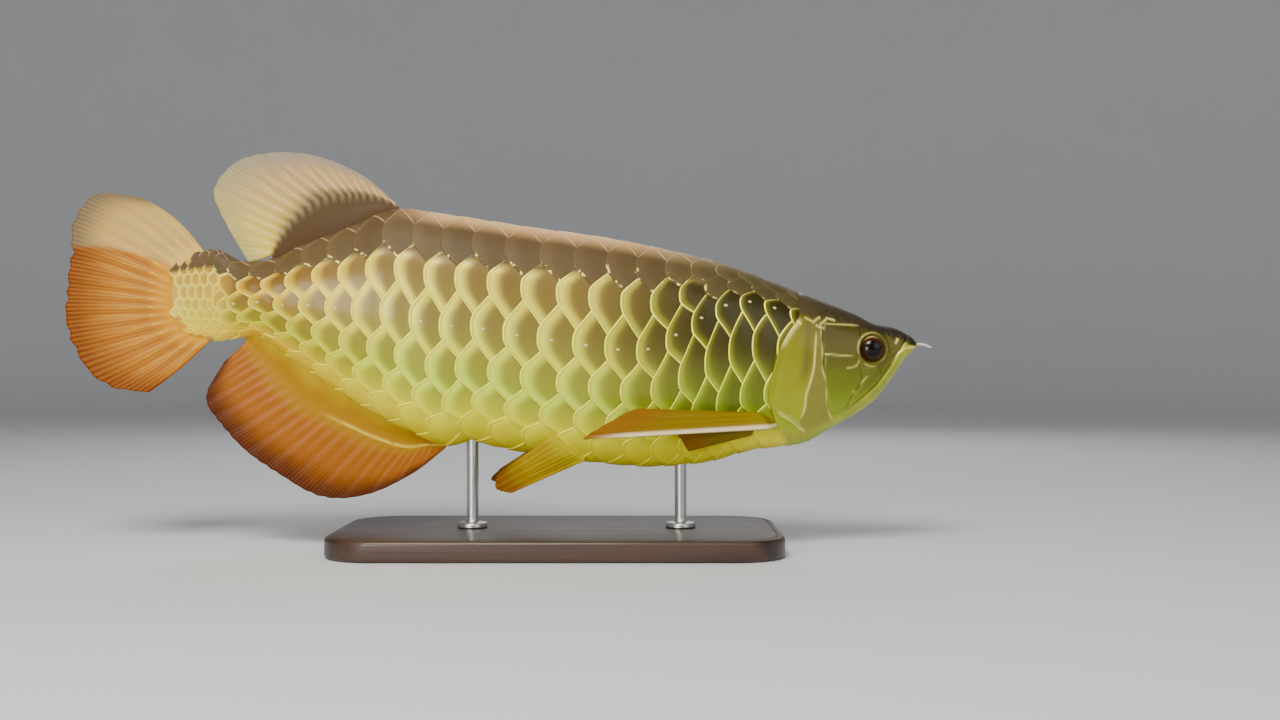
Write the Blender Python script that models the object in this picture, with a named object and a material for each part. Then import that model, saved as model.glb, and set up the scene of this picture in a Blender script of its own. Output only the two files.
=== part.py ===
"""An asian arowana, life size, as a still display model on a plain stand.

Blender 4.5, metres, +Z up. The head points to +X, and the origin is on the table under
the middle of the model. Tables of outline points are in millimetres, and mm() turns
them to metres. The body is one smooth surface, worked out from its back line, belly
line and half-width, and thin cuts part it into the nodes.
"""
import math

import bmesh
import bpy
from mathutils import Vector

MM = 0.001

# The gap kept between two solids that touch.
GAP = 0.3 * MM

# Sides of every round piece and hole.
ROUND_SIDES = 24

# How far helper solids reach past the body, and half their width.
FAR = 300 * MM
CUT_HALF = 60 * MM

# Reach of the model: tail margin at the back, barbel tips at the front.
REACH = 255.9 * MM

# Back line and belly line of the body, as (x, z) in mm from the tail to the snout.
BACK_LINE = (
    (-200, 170), (-168, 176.3), (-148.4, 168.9), (-133, 170.6), (-117, 178.6),
    (-87.5, 190), (-57.9, 200.3),
    (-34.3, 197.4), (13.2, 190.1), (66.2, 182.6), (107, 174.3), (134.7, 167.3),
    (162.8, 156.6), (190.9, 145.5), (211, 137.4), (221, 132.2), (232.9, 129.7),
    (239.4, 126.8), (244, 123.8), (246.8, 121.6),
)
BELLY_LINE = (
    (-200, 129), (-168, 122.6), (-144, 125.4), (-118.2, 108.7), (-86.3, 87.5),
    (-47.9, 67.4), (-29.6, 61), (-14.5, 63.6), (0, 60), (30.7, 55), (62.1, 50.6),
    (89.8, 48.6), (120.6, 50.8), (151.6, 58.6), (178.5, 62.1), (198.6, 72.7),
    (220.4, 86.3), (231.9, 100), (240, 112.3), (244, 116), (246.8, 118.4),
)
HALF_WIDTH = (
    (-200, 1.3), (-190, 2.2), (-180, 4), (-163, 7.5), (-140, 12.2), (-105, 18.4),
    (-60, 24.4), (0, 27.6), (60, 28.4), (110, 27.8), (150, 26.2), (178, 24),
    (190, 22.4), (202, 20.2), (214, 17.2), (223, 14.8), (229, 13), (234, 11.2),
    (239, 8.8), (243, 6.4), (246.8, 3.6),
)
# The section: depth share of the widest place, and how full the back and belly are.
WIDEST_SHARE = 0.44
BACK_FULLNESS = 2.5
BELLY_FULLNESS = 1.95

# Rear edge of the gill covers, as (x, z) in mm from the nape to the throat.
GILL_EDGE = (
    (181, 162), (178.5, 147), (175.5, 135.9), (169.6, 127.7), (163.7, 117),
    (159.6, 102.2), (157.8, 90.4), (160, 84), (165.5, 80.4), (172.6, 76.4),
    (177.3, 72.1), (181, 66.2), (184, 56),
)
# Outline of the lower jaw: along the gape from its tip to the corner, then the chin.
JAW_OUTLINE = (
    (256, 125), (241.2, 125), (237.6, 120), (233.4, 113.5), (228.1, 105.2),
    (221.6, 96.9), (214.5, 90.4), (209.2, 86), (204.6, 81), (200.9, 73.9),
    (199, 62), (256, 62),
)
# Where the scales end and the tail rays begin, from the upper to the lower root.
TAIL_ROOT = (
    (-167, 178), (-180, 172), (-188, 165), (-190.6, 155), (-191, 147.5),
    (-190.5, 140), (-187, 132.5), (-178, 125.6), (-160, 121),
)
# The tail stalk is parted from the torso behind the dorsal and anal fins.
STALK_X = -153 * MM

# Scales lie in rows along the body, row 0 on the ridge of the back and row 7 on the
# keel, with the lateral line on row 3. Each table gives the rows' depth shares.
LAST_ROW = 7
NAPE_ROWS = (0, 0.03, 0.09, 0.17, 0.41, 0.68, 0.85, 1)
FLANK_ROWS = (0, 0.12, 0.28, 0.49, 0.67, 0.82, 0.92, 1)
STALK_ROWS = (0, 0.15, 0.34, 0.58, 0.76, 0.88, 0.95, 1)
NAPE_X = 155 * MM
FLANK_FRONT_X = 78 * MM
FLANK_REAR_X = -99 * MM
STALK_ROWS_X = -164 * MM
# Rear rims of the columns of scales: (column, x in mm), counted from the gill cover.
COLUMN_PLACES = (
    (-3, 199), (0, 155.4), (4, 98.1), (6, 63.8), (10, -13.6), (17, -130),
    (19, -158.4), (23, -189.7), (25, -204),
)
FIRST_COLUMN = -2
LAST_COLUMN = 24
# How far a rear rim stands over the scale behind it, on a scale of full length.
SCALE_STEP = 1.15 * MM
FULL_PITCH = 19.4 * MM
# Share of that step on each row, and half the height of a scale's upright rear edge.
ROW_STEPS = (0.5, 0.7, 0.95, 1, 1, 0.95, 0.75, 0.6)
EDGE_SHARE = 0.26
# How high the middle of a scale stands, as a share of its rear rim's step.
CENTRE_LEVEL = 0.62
# How far the caps of the scaled body stand out, at its front and at its rear.
CAP_DEPTHS = (12 * MM, -6 * MM)

# The front of the body is lofted over these stations, closer together at the snout.
HEAD_REAR_X = 150 * MM
SNOUT_X = 246.8 * MM
HEAD_STATIONS = 23
HEAD_TIGHTENING = 0.55
HEAD_SIDES = 28

EYE_CENTRE = (219.1, 117.3)
EYE_RADIUS = 7.7 * MM
EYE_DEPTH = 5 * MM
EYE_INSET = 3.2 * MM
ORBIT_RADIUS = 10.2 * MM
ORBIT_PROUD = 0.7 * MM
NOSTRILS = ((233.6, 123.6), (229.6, 125.2))
NOSTRIL_RADIUS = 0.9 * MM
NOSTRIL_DEPTH = 1.6 * MM

# Bony plates of the head: outline in mm and how far each stands proud.
HEAD_PLATES = (
    # Gill cover.
    (((183, 150), (186.6, 133.6), (184.6, 112), (182, 96), (177.6, 84), (176.6, 70),
      (150, 70), (150, 150)), 1.3),
    # Plate in front of the gill cover, round the cheek.
    (((187.4, 135), (190.2, 133), (190, 117), (191.4, 103), (193.2, 86), (198, 79),
      (190, 76), (179.6, 78), (180, 84), (183.6, 96), (186, 111)), 0.9),
    # Three cheek plates between that and the eye.
    (((191.4, 133), (204, 133), (208.4, 127), (208.4, 119.5), (206, 113.6),
      (191.6, 114.4)), 0.7),
    (((191.8, 113), (206.2, 112.4), (209.6, 108.6), (210.6, 103.4), (206, 96.6),
      (193.4, 92), (192.2, 103)), 0.7),
    (((211.6, 102.6), (218.6, 106.2), (215.4, 97), (209, 90.6), (203.6, 85),
      (195, 82.4), (194, 90.8), (206.8, 95.6)), 0.55),
)
LIP_WIDTH = 2.4 * MM
LIP_PROUD = 0.55 * MM

BARBEL_ROOT = (247.1, 2.2, 120)
BARBEL_BASE_RADIUS = 0.9 * MM
BARBEL_TIP_RADIUS = 0.35 * MM
BARBEL_DROP = 1.6 * MM
BARBEL_LIFT = 1.2 * MM
BARBEL_RINGS = 6
BARBEL_SIDES = 8

STAND_LENGTH = 260 * MM
STAND_WIDTH = 140 * MM
STAND_THICKNESS = 12 * MM
STAND_CORNER = 30 * MM
STAND_CENTRE_X = 36 * MM
ROD_RADIUS = 3.5 * MM
ROD_FOOT_RADIUS = 9 * MM
ROD_FOOT_HEIGHT = 3 * MM
ROD_INSET = 7 * MM
ROD_PLACES = {"stand_rod_front": 108 * MM, "stand_rod_rear": -15 * MM}


def mm(point):
    """A point or value given in millimetres, in metres."""
    if isinstance(point, (int, float)):
        return point * MM
    return tuple(value * MM for value in point)


class Profile:
    """A smooth function through (x, value) knots in mm, with no overshoot between them."""

    def __init__(self, knots):
        self.xs = [x * MM for x, _ in knots]
        self.ys = [y * MM for _, y in knots]
        steps = [b - a for a, b in zip(self.xs, self.xs[1:])]
        slopes = [(b - a) / h for a, b, h in zip(self.ys, self.ys[1:], steps)]
        inner = []
        for h0, h1, s0, s1 in zip(steps, steps[1:], slopes, slopes[1:]):
            if s0 * s1 <= 0:
                inner.append(0.0)
                continue
            w0, w1 = 2 * h1 + h0, h1 + 2 * h0
            inner.append((w0 + w1) / (w0 / s0 + w1 / s1))
        self.tangents = [slopes[0]] + inner + [slopes[-1]]

    def __call__(self, x):
        x = min(max(x, self.xs[0]), self.xs[-1])
        i = 0
        while i < len(self.xs) - 2 and x > self.xs[i + 1]:
            i += 1
        h = self.xs[i + 1] - self.xs[i]
        t = (x - self.xs[i]) / h
        a, b = self.ys[i], self.ys[i + 1]
        ta, tb = self.tangents[i] * h, self.tangents[i + 1] * h
        return (a * (1 + 2 * t) * (1 - t) ** 2 + ta * t * (1 - t) ** 2
                + b * t * t * (3 - 2 * t) - tb * t * t * (1 - t))


back = Profile(BACK_LINE)
belly = Profile(BELLY_LINE)
half_width = Profile(HALF_WIDTH)


def curve_point(points, share):
    """The point at a share 0 to 1 of a Catmull-Rom curve through evenly spaced points."""
    count = len(points) - 1
    i = min(int(share * count), count - 1)
    t = share * count - i
    p1, p2 = Vector(points[i]), Vector(points[i + 1])
    p0 = Vector(points[i - 1]) if i > 0 else p1 * 2 - p2
    p3 = Vector(points[i + 2]) if i + 2 <= count else p2 * 2 - p1
    return ((p1 * 2) + (p2 - p0) * t + (p0 * 2 - p1 * 5 + p2 * 4 - p3) * t * t
            + (p1 * 3 - p0 - p2 * 3 + p3) * t ** 3) / 2


def curve_points(points, count):
    """Points along a smooth curve through the given mm points, in metres."""
    metres = [mm(p) for p in points]
    return [curve_point(metres, i / (count - 1)) for i in range(count)]


def section_share(depth_share):
    """Half-width at a depth share of the section, as a share of the largest."""
    if depth_share < WIDEST_SHARE:
        off, power = (WIDEST_SHARE - depth_share) / WIDEST_SHARE, BACK_FULLNESS
    else:
        off, power = (depth_share - WIDEST_SHARE) / (1 - WIDEST_SHARE), BELLY_FULLNESS
    return math.sqrt(max(0.0, 1 - off ** power))


def flank_point(x, turn):
    """A point of the body. turn is 0 at the back, 1 or -1 at the keel, + on the left."""
    if turn > 1:
        turn -= 2
    if turn < -1:
        turn += 2
    depth_share = (1 - math.cos(math.pi * turn)) / 2
    top, bottom = back(x), belly(x)
    y = math.copysign(half_width(x) * section_share(depth_share), turn)
    return Vector((x, y, top - depth_share * (top - bottom)))


def body_point(x, turn, proud=0.0):
    """A point of the body, standing proud of it along the surface's normal."""
    point = flank_point(x, turn)
    if not proud:
        return point
    dx, dt = 0.6 * MM, 0.012
    along = flank_point(x + dx, turn) - flank_point(x - dx, turn)
    round_it = flank_point(x, turn + dt) - flank_point(x, turn - dt)
    return point + along.cross(round_it).normalized() * proud


def side_y(x, z):
    """Half-width of the body at a place seen from the side."""
    top, bottom = back(x), belly(x)
    share = min(max((top - z) / (top - bottom), 0), 1)
    return half_width(x) * section_share(share)


def make_object(name, mesh_maker, material):
    """A named object from a function that fills a bmesh."""
    bm = bmesh.new()
    mesh_maker(bm)
    bmesh.ops.recalc_face_normals(bm, faces=bm.faces)
    if bm.calc_volume(signed=True) < 0:
        bmesh.ops.reverse_faces(bm, faces=bm.faces)
    mesh = bpy.data.meshes.new(name)
    bm.to_mesh(mesh)
    bm.free()
    obj = bpy.data.objects.new(name, mesh)
    bpy.context.scene.collection.objects.link(obj)
    if material is not None:
        mesh.materials.append(material)
    return obj


def finish_material(name, colour, roughness, metallic=0.0):
    """A plain Principled finish."""
    material = bpy.data.materials.new(name)
    material.use_nodes = True
    shader = material.node_tree.nodes["Principled BSDF"]
    shader.inputs["Base Color"].default_value = (*colour, 1.0)
    shader.inputs["Roughness"].default_value = roughness
    shader.inputs["Metallic"].default_value = metallic
    return material


def remove(obj):
    """Delete a helper object and its mesh."""
    mesh = obj.data
    bpy.data.objects.remove(obj)
    bpy.data.meshes.remove(mesh)


def apply_modifiers(obj):
    """Turn the evaluated shape into the object's own mesh."""
    bpy.context.view_layer.update()
    evaluated = obj.evaluated_get(bpy.context.evaluated_depsgraph_get())
    mesh = bpy.data.meshes.new_from_object(evaluated)
    obj.modifiers.clear()
    old = obj.data
    obj.data = mesh
    mesh.name = obj.name
    bpy.data.meshes.remove(old)


def boolean(obj, tool, operation, solver="EXACT"):
    """Join, cut or intersect obj with a tool object, which is then removed."""
    modifier = obj.modifiers.new(operation, "BOOLEAN")
    modifier.operation = operation
    modifier.solver = solver
    modifier.object = tool
    apply_modifiers(obj)
    remove(tool)


def keep_largest(obj):
    """Keep only the largest closed surface of a mesh."""
    bm = bmesh.new()
    bm.from_mesh(obj.data)
    bm.verts.ensure_lookup_table()
    seen, groups = set(), []
    for start in bm.verts:
        if start in seen:
            continue
        stack, group = [start], []
        seen.add(start)
        while stack:
            vert = stack.pop()
            group.append(vert)
            for edge in vert.link_edges:
                other = edge.other_vert(vert)
                if other not in seen:
                    seen.add(other)
                    stack.append(other)
        groups.append(group)
    groups.sort(key=len, reverse=True)
    for group in groups[1:]:
        bmesh.ops.delete(bm, geom=group, context="VERTS")
    bm.to_mesh(obj.data)
    bm.free()


def loft(bm, xs, sides, proud=0.0):
    """A closed body surface over the stations xs, with the given sides round it."""
    rings = []
    for x in xs:
        ring = [bm.verts.new(body_point(x, -1 + 2 * i / sides, proud)) for i in range(sides)]
        rings.append(ring)
    for a, b in zip(rings, rings[1:]):
        for i in range(sides):
            j = (i + 1) % sides
            bm.faces.new((a[i], a[j], b[j], b[i]))
    for ring, x in ((rings[0], xs[0]), (rings[-1], xs[-1])):
        centre = bm.verts.new((x, 0, (back(x) + belly(x)) / 2))
        for i in range(sides):
            bm.faces.new((ring[i], ring[(i + 1) % sides], centre))


def prism(bm, outline, low_y, high_y):
    """A closed upright prism over an (x, z) outline in metres."""
    near = [bm.verts.new((x, low_y, z)) for x, z in outline]
    far = [bm.verts.new((x, high_y, z)) for x, z in outline]
    bm.faces.new(near)
    bm.faces.new(far)
    for i in range(len(outline)):
        j = (i + 1) % len(outline)
        bm.faces.new((near[i], near[j], far[j], far[i]))


def prism_tool(outline):
    """A helper object: a prism right through the body."""
    return make_object("tool", lambda bm: prism(bm, outline, -CUT_HALF, CUT_HALF), None)


def grown(outline, by):
    """An (x, z) outline moved outwards by a distance, with its corners mitred."""
    area = sum(a[0] * b[1] - b[0] * a[1] for a, b in zip(outline, outline[1:] + outline[:1]))
    sense = 1 if area > 0 else -1
    result = []
    for i, point in enumerate(outline):
        before = Vector(point) - Vector(outline[i - 1])
        after = Vector(outline[(i + 1) % len(outline)]) - Vector(point)
        before.normalize()
        after.normalize()
        n0 = Vector((before.y, -before.x)) * sense
        n1 = Vector((after.y, -after.x)) * sense
        mitre = n0 + n1
        result.append(tuple(Vector(point) + mitre * by / max(0.5, mitre.dot(n0))))
    return result


def gill_region(shift):
    """Outline of all that lies in front of the gill edge, moved back by shift."""
    edge = [tuple(p) for p in curve_points(GILL_EDGE, 31)]
    region = edge + [(FAR, edge[-1][1]), (FAR, edge[0][1])]
    return grown(region, shift) if shift else region


def jaw_region(shift):
    """Outline of the lower jaw, grown by shift."""
    return grown([mm(p) for p in JAW_OUTLINE], shift) if shift else [mm(p) for p in JAW_OUTLINE]


def tail_region(shift):
    """Outline of all that lies behind the tail root, moved forward by shift."""
    edge = [tuple(p) for p in curve_points(TAIL_ROOT, 25)]
    region = edge + [(-FAR, edge[-1][1]), (-FAR, edge[0][1])]
    return grown(region, shift) if shift else region


def spaced(low, high, count, tighten_high=0.0):
    """Evenly spaced stations, drawn together towards the high end by tighten_high."""
    shares = [i / (count - 1) for i in range(count)]
    return [low + (high - low) * (s + tighten_high * s * (1 - s)) for s in shares]


def head_solid(proud=0.0):
    """A helper object: the front of the body as one solid."""
    xs = spaced(HEAD_REAR_X, SNOUT_X, HEAD_STATIONS, HEAD_TIGHTENING)
    return make_object("head_form", lambda bm: loft(bm, xs, HEAD_SIDES, proud), None)


def add_plate(obj, outline, proud):
    """Raise a bony plate inside an outline on both sides of the head."""
    plate = head_solid(proud)
    boolean(plate, prism_tool(outline), "INTERSECT", "MANIFOLD")
    boolean(obj, plate, "UNION", "MANIFOLD")


def lip_band(side):
    """Outline of the band along the gape; side is +1 for the upper lip, -1 for the lower."""
    line = [Vector(mm(p)) for p in JAW_OUTLINE[1:8]]
    inner = grown([tuple(p) for p in line] + [mm((209, 60)), mm((256, 60))], LIP_WIDTH * side)
    return [tuple(p) for p in line] + [tuple(p) for p in reversed(inner[:len(line)])]


def eye_ellipsoid(bm, side, grow=0.0):
    """A flattened ball for one eye, or its socket when grown."""
    x, z = mm(EYE_CENTRE)
    centre = Vector((x, side * (side_y(x, z) - EYE_INSET), z))
    bmesh.ops.create_uvsphere(bm, u_segments=18, v_segments=10, radius=1.0)
    size = Vector((EYE_RADIUS + grow, EYE_DEPTH + grow, EYE_RADIUS + grow))
    for vert in bm.verts:
        x, y, z = vert.co
        vert.co = centre + Vector((x * size.x, z * size.y, y * size.z))


def build_head(skin):
    """The head with its bony plates, orbits, upper lip and nostrils."""
    head = head_solid()
    for outline, proud in HEAD_PLATES:
        add_plate(head, [mm(p) for p in outline], mm(proud))
    x, z = mm(EYE_CENTRE)
    angles = [2 * math.pi * i / ROUND_SIDES for i in range(ROUND_SIDES)]
    ring = [(x + ORBIT_RADIUS * math.cos(a), z + ORBIT_RADIUS * math.sin(a)) for a in angles]
    add_plate(head, ring, ORBIT_PROUD)
    add_plate(head, lip_band(-1), LIP_PROUD)
    boolean(head, prism_tool(gill_region(0)), "INTERSECT")
    boolean(head, prism_tool(jaw_region(GAP)), "DIFFERENCE")
    for side in (-1, 1):
        boolean(head, make_object("tool", lambda bm, s=side: eye_ellipsoid(bm, s, GAP), None),
                "DIFFERENCE")
        for nx, nz in NOSTRILS:
            nx, nz = mm((nx, nz))
            pit = make_object("tool", lambda bm: bmesh.ops.create_icosphere(
                bm, subdivisions=1, radius=NOSTRIL_RADIUS), None)
            y = side * (side_y(nx, nz) - NOSTRIL_DEPTH + NOSTRIL_RADIUS)
            for vert in pit.data.vertices:
                vert.co.y = vert.co.y * NOSTRIL_DEPTH / NOSTRIL_RADIUS + y
                vert.co.x += nx
                vert.co.z += nz
            boolean(head, pit, "DIFFERENCE")
    keep_largest(head)
    return named(head, "head", skin)


def build_jaw(skin):
    """The lower jaw, parted from the head along the gape, with its lip."""
    jaw = head_solid()
    add_plate(jaw, lip_band(1), LIP_PROUD)
    boolean(jaw, prism_tool(jaw_region(0)), "INTERSECT")
    keep_largest(jaw)
    return named(jaw, "lower_jaw", skin)


def named(obj, name, material):
    """Give a finished solid its node name and its finish."""
    obj.name = name
    obj.data.name = name
    obj.data.materials.clear()
    obj.data.materials.append(material)
    return obj


def smooth_step(value):
    """0 below 0, 1 above 1, and a smooth rise between them."""
    value = min(max(value, 0), 1)
    return value * value * (3 - 2 * value)


class ScaleLattice:
    """Places of the scales: column k runs to the tail, row t round the body."""

    def __init__(self):
        self.column_x = Profile([(k / MM, x) for k, x in COLUMN_PLACES])
        self.rows = {name: Profile([(t / MM, math.acos(1 - 2 * share) / math.pi / MM)
                                    for t, share in enumerate(table)])
                     for name, table in (("nape", NAPE_ROWS), ("flank", FLANK_ROWS),
                                         ("stalk", STALK_ROWS))}
        self.row_step = Profile([(t / MM, share / MM) for t, share in enumerate(ROW_STEPS)])

    def turn(self, x, row):
        """How far round the body a row lies at x."""
        if abs(row) > LAST_ROW:
            row -= math.copysign(2 * LAST_ROW, row)
        to_nape = smooth_step((x - FLANK_FRONT_X) / (NAPE_X - FLANK_FRONT_X))
        to_stalk = smooth_step((x - FLANK_REAR_X) / (STALK_ROWS_X - FLANK_REAR_X))
        flank = self.rows["flank"](abs(row))
        turn = (flank + (self.rows["nape"](abs(row)) - flank) * to_nape
                + (self.rows["stalk"](abs(row)) - flank) * to_stalk)
        return math.copysign(turn, row)

    def step(self, column, row):
        """How far the rear rim stands proud at a place."""
        if abs(row) > LAST_ROW:
            row -= math.copysign(2 * LAST_ROW, row)
        pitch = self.column_x(column - 0.5) - self.column_x(column + 0.5)
        return SCALE_STEP * min(1, pitch / FULL_PITCH) * self.row_step(abs(row))

    def point(self, column, row, level):
        """A point over the body, level 0 at the skin to 1 at the top of a rear rim."""
        x = self.column_x(column)
        return body_point(x, self.turn(x, row), level * self.step(column, row))


def scaled_body():
    """A helper object: the body with every scale raised in its own surface.

    The scales are six-sided cells. Each rises from its front edge to its rear rim, and
    upright walls part it from the cells behind, above and below it.
    """
    lattice = ScaleLattice()
    return make_object("body_form", lambda bm: fill_scales(bm, lattice), None)


def fill_scales(bm, lattice):
    """Cells, walls between them, and a cap at either end."""
    verts = {}
    rows_round = 2 * LAST_ROW

    def vert(half_column, row, edge, level):
        """The vertex on a row's upper or lower edge, edge being -1 or 1."""
        row = (row + LAST_ROW) % rows_round - LAST_ROW
        key = (half_column, row, edge, level)
        if key not in verts:
            place = lattice.point(half_column / 2, row + edge * EDGE_SHARE, level / 2)
            verts[key] = bm.verts.new(place)
        return verts[key]

    def is_cell(half_column, row):
        """Whether a cell has its rear rim there."""
        row_is_odd = row % 2 == 1
        column_fits = (half_column % 2 == 0) == row_is_odd
        return column_fits and 2 * FIRST_COLUMN <= half_column <= 2 * LAST_COLUMN

    for row in range(-LAST_ROW, LAST_ROW):
        for rear in range(2 * FIRST_COLUMN, 2 * LAST_COLUMN + 1):
            if not is_cell(rear, row):
                continue
            rim = [vert(rear - 1, row - 1, 1, 1), vert(rear, row, -1, 2), vert(rear, row, 1, 2),
                   vert(rear - 1, row + 1, -1, 1), vert(rear - 2, row, 1, 0),
                   vert(rear - 2, row, -1, 0)]
            centre = bm.verts.new(lattice.point(rear / 2 - 0.5, row, CENTRE_LEVEL))
            for i, corner in enumerate(rim):
                bm.faces.new((corner, rim[(i + 1) % 6], centre))
            if is_cell(rear + 2, row):
                bm.faces.new([vert(rear, row, -1, level) for level in (2, 1, 0)]
                             + [vert(rear, row, 1, level) for level in (0, 1, 2)])
            for edge in (-1, 1):
                if is_cell(rear + 1, row + edge):
                    bm.faces.new((vert(rear, row, edge, 2), vert(rear, row, edge, 1),
                                  vert(rear - 1, row + edge, -edge, 0),
                                  vert(rear - 1, row + edge, -edge, 1)))
    cap_ends(bm)


def cap_ends(bm):
    """Close each open end with a fan to its own middle point."""
    open_edges = [edge for edge in bm.edges if edge.is_boundary]
    for is_front in (True, False):
        edges = [e for e in open_edges if (e.verts[0].co.x > 0) == is_front]
        middle = sum((e.verts[0].co for e in edges), Vector()) / len(edges)
        depth = CAP_DEPTHS[0] if is_front else CAP_DEPTHS[1]
        centre = bm.verts.new((middle.x + depth, 0, middle.z))
        for edge in edges:
            bm.faces.new((edge.verts[0], edge.verts[1], centre))


class Fin:
    """A fin blade between a root, a bed where its rays begin, and a margin.

    The root lies in a slot in the body. halves are half the thickness at the root, the
    bed and the margin. bow bends the first and the last ray in the blade's plane, and
    lead thickens the leading edge.
    """

    def __init__(self, root, bed, margin, halves, rays, rows, bow=(0.0, 0.0), lead=0.0,
                 forked=False):
        self.root, self.bed, self.margin = root, bed, margin
        self.halves = halves
        self.bow = bow
        self.lead = lead
        self.per_ray = 4 if forked else 2
        self.columns = rays * self.per_ray + 1
        self.rows = rows

    def point(self, u, v):
        """The middle of the blade at u along the base and v from root to margin."""
        bed = curve_point(self.bed, u)
        if v <= BED_SHARE:
            return curve_point(self.root, u).lerp(bed, v / BED_SHARE)
        t = (v - BED_SHARE) / (1 - BED_SHARE)
        end = curve_point(self.margin, u)
        bow = self.bow[0] + (self.bow[1] - self.bow[0]) * u
        across = (end - bed).cross(Vector((0, 1, 0))).normalized()
        return bed.lerp(end, t) + across * bow * 4 * t * (1 - t)

    def ridge(self, column, v):
        """Share of the ray's full height, which forks into two outward on some fins."""
        place = column % self.per_ray
        if place == 0 or v < BED_SHARE:
            return 0.0
        taper = min(1.0, (v - BED_SHARE) / RAY_RISE) * (1.15 - v) / (1.15 - BED_SHARE)
        if self.per_ray == 2:
            return taper
        fork = smooth_step((v - FORK_START) / FORK_LENGTH)
        return taper * ((1 - 0.75 * fork) if place == 2 else (0.55 + 0.45 * fork))

    def half(self, column, v):
        """Half the blade's thickness at a column and v."""
        root, bed, margin = self.halves
        if v <= BED_SHARE:
            plain = root + (bed - root) * v / BED_SHARE
        else:
            plain = bed + (margin - bed) * (v - BED_SHARE) / (1 - BED_SHARE)
        u = column / (self.columns - 1)
        lead = self.lead * max(0.0, 1 - LEAD_SPAN * u) * (1.1 - v)
        return plain + self.ridge(column, v) * RAY_HEIGHT + lead


def blade(bm, fin, grow=0.0):
    """A closed thin solid over a fin, with like triangles on both faces."""
    columns, rows = fin.columns, fin.rows
    vs = [j / (rows - 1) for j in range(rows)]
    middle = [[fin.point(i / (columns - 1), v) for v in vs] for i in range(columns)]
    faces = {1: [], -1: []}
    for i in range(columns):
        for j in range(rows):
            i0, i1 = max(i - 1, 0), min(i + 1, columns - 1)
            j0, j1 = max(j - 1, 0), min(j + 1, rows - 1)
            normal = (middle[i1][j] - middle[i0][j]).cross(middle[i][j1] - middle[i][j0])
            normal.normalize()
            point = middle[i][j].copy()
            if grow:
                step_u = (middle[i1][j] - middle[i0][j]).normalized()
                step_v = (middle[i][j1] - middle[i][j0]).normalized()
                if i in (0, columns - 1):
                    point += step_u * (grow if i else -grow)
                if j == 0:
                    point -= step_v * grow
            offset = normal * (fin.half(i, vs[j]) + grow)
            for side in (1, -1):
                faces[side].append(bm.verts.new(point + offset * side))
    sheet_faces(bm, faces, columns, rows)


def sheet_faces(bm, faces, columns, rows):
    """Join two matching grids of points into one closed thin solid."""
    for side in (1, -1):
        grid = faces[side]
        for i in range(columns - 1):
            for j in range(rows - 1):
                a, b = grid[i * rows + j], grid[(i + 1) * rows + j]
                c, d = grid[(i + 1) * rows + j + 1], grid[i * rows + j + 1]
                for triangle in ((a, b, c), (a, c, d)):
                    bm.faces.new(triangle if side > 0 else triangle[::-1])
    rim = ([i * rows for i in range(columns)]
           + [(columns - 1) * rows + j for j in range(1, rows)]
           + [i * rows + rows - 1 for i in range(columns - 2, -1, -1)]
           + [j for j in range(rows - 2, 0, -1)])
    for k, here in enumerate(rim):
        there = rim[(k + 1) % len(rim)]
        a, b = faces[1][here], faces[1][there]
        c, d = faces[-1][there], faces[-1][here]
        bm.faces.new((a, d, b))
        bm.faces.new((b, d, c))


def flat(points):
    """Points (x, z) in mm as vectors in the middle plane."""
    return [Vector((x * MM, 0, z * MM)) for x, z in points]


def sunk_line(line, reach, sink):
    """Points along the back or belly, moved by sink."""
    return [Vector((x, 0, line(x) + sink)) for x in spaced(*reach, ROOT_POINTS)]


DORSAL_BED = ((-58.5, 201.5), (-69.7, 206.8), (-80.4, 208.6), (-90.4, 208.8),
              (-102.2, 207.4), (-113.5, 201.2), (-122.9, 192), (-129.4, 182), (-133.6, 173.2))
DORSAL_MARGIN = ((-60.3, 203.6), (-76.8, 218.1), (-92.2, 226.4), (-111.1, 232.6),
                 (-133.6, 233.7), (-153.7, 228.7), (-167.8, 213.3), (-163.7, 199.2),
                 (-146.4, 171.4))
ANAL_BED = ((-30.2, 60.2), (-41.4, 60.1), (-55, 58.8), (-72.7, 64.1), (-93.4, 73.3),
            (-111.7, 82.1), (-127.7, 95.7), (-139.5, 109.9), (-149.6, 121))
ANAL_MARGIN = ((-32, 58), (-50.8, 43.7), (-76.8, 31.6), (-104, 30.1), (-128.2, 42.8),
               (-148.3, 56.7), (-164.9, 74.5), (-172.6, 89.8), (-161.9, 109.9))
CAUDAL_MARGIN = ((-211, 207.4), (-237, 209.4), (-250.6, 195), (-252.6, 175),
                 (-254.7, 156), (-255.9, 138), (-250.6, 117.6), (-233, 96.6),
                 (-207, 91.6))
ROOT_SINK = 3 * MM
# Share of a blade, from the root, at which its rays begin, and how high they stand.
BED_SHARE = 0.25
RAY_HEIGHT = 0.42 * MM
# Share of a blade's length over which a ray rises, and where a forked one divides.
RAY_RISE = 0.12
FORK_START = 0.45
FORK_LENGTH = 0.15
# Part of the base, as one over its share, that a thickened leading edge takes up.
LEAD_SPAN = 9
# Half the thickness of every blade at its margin.
MARGIN_HALF = 0.28 * MM
# Where the dorsal and anal fins begin and end on the body.
DORSAL_REACH = (-60 * MM, -132 * MM)
ANAL_REACH = (-31 * MM, -148 * MM)
ROOT_POINTS = 9
MEDIAN_RAYS = {"dorsal": 17, "anal": 24, "caudal": 13}
MEDIAN_ROWS = 6
PAIRED_ROWS = {"pectoral": 7, "pelvic": 6}
CAUDAL_BED = 4 * MM
CAUDAL_BOW = 5 * MM


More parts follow.
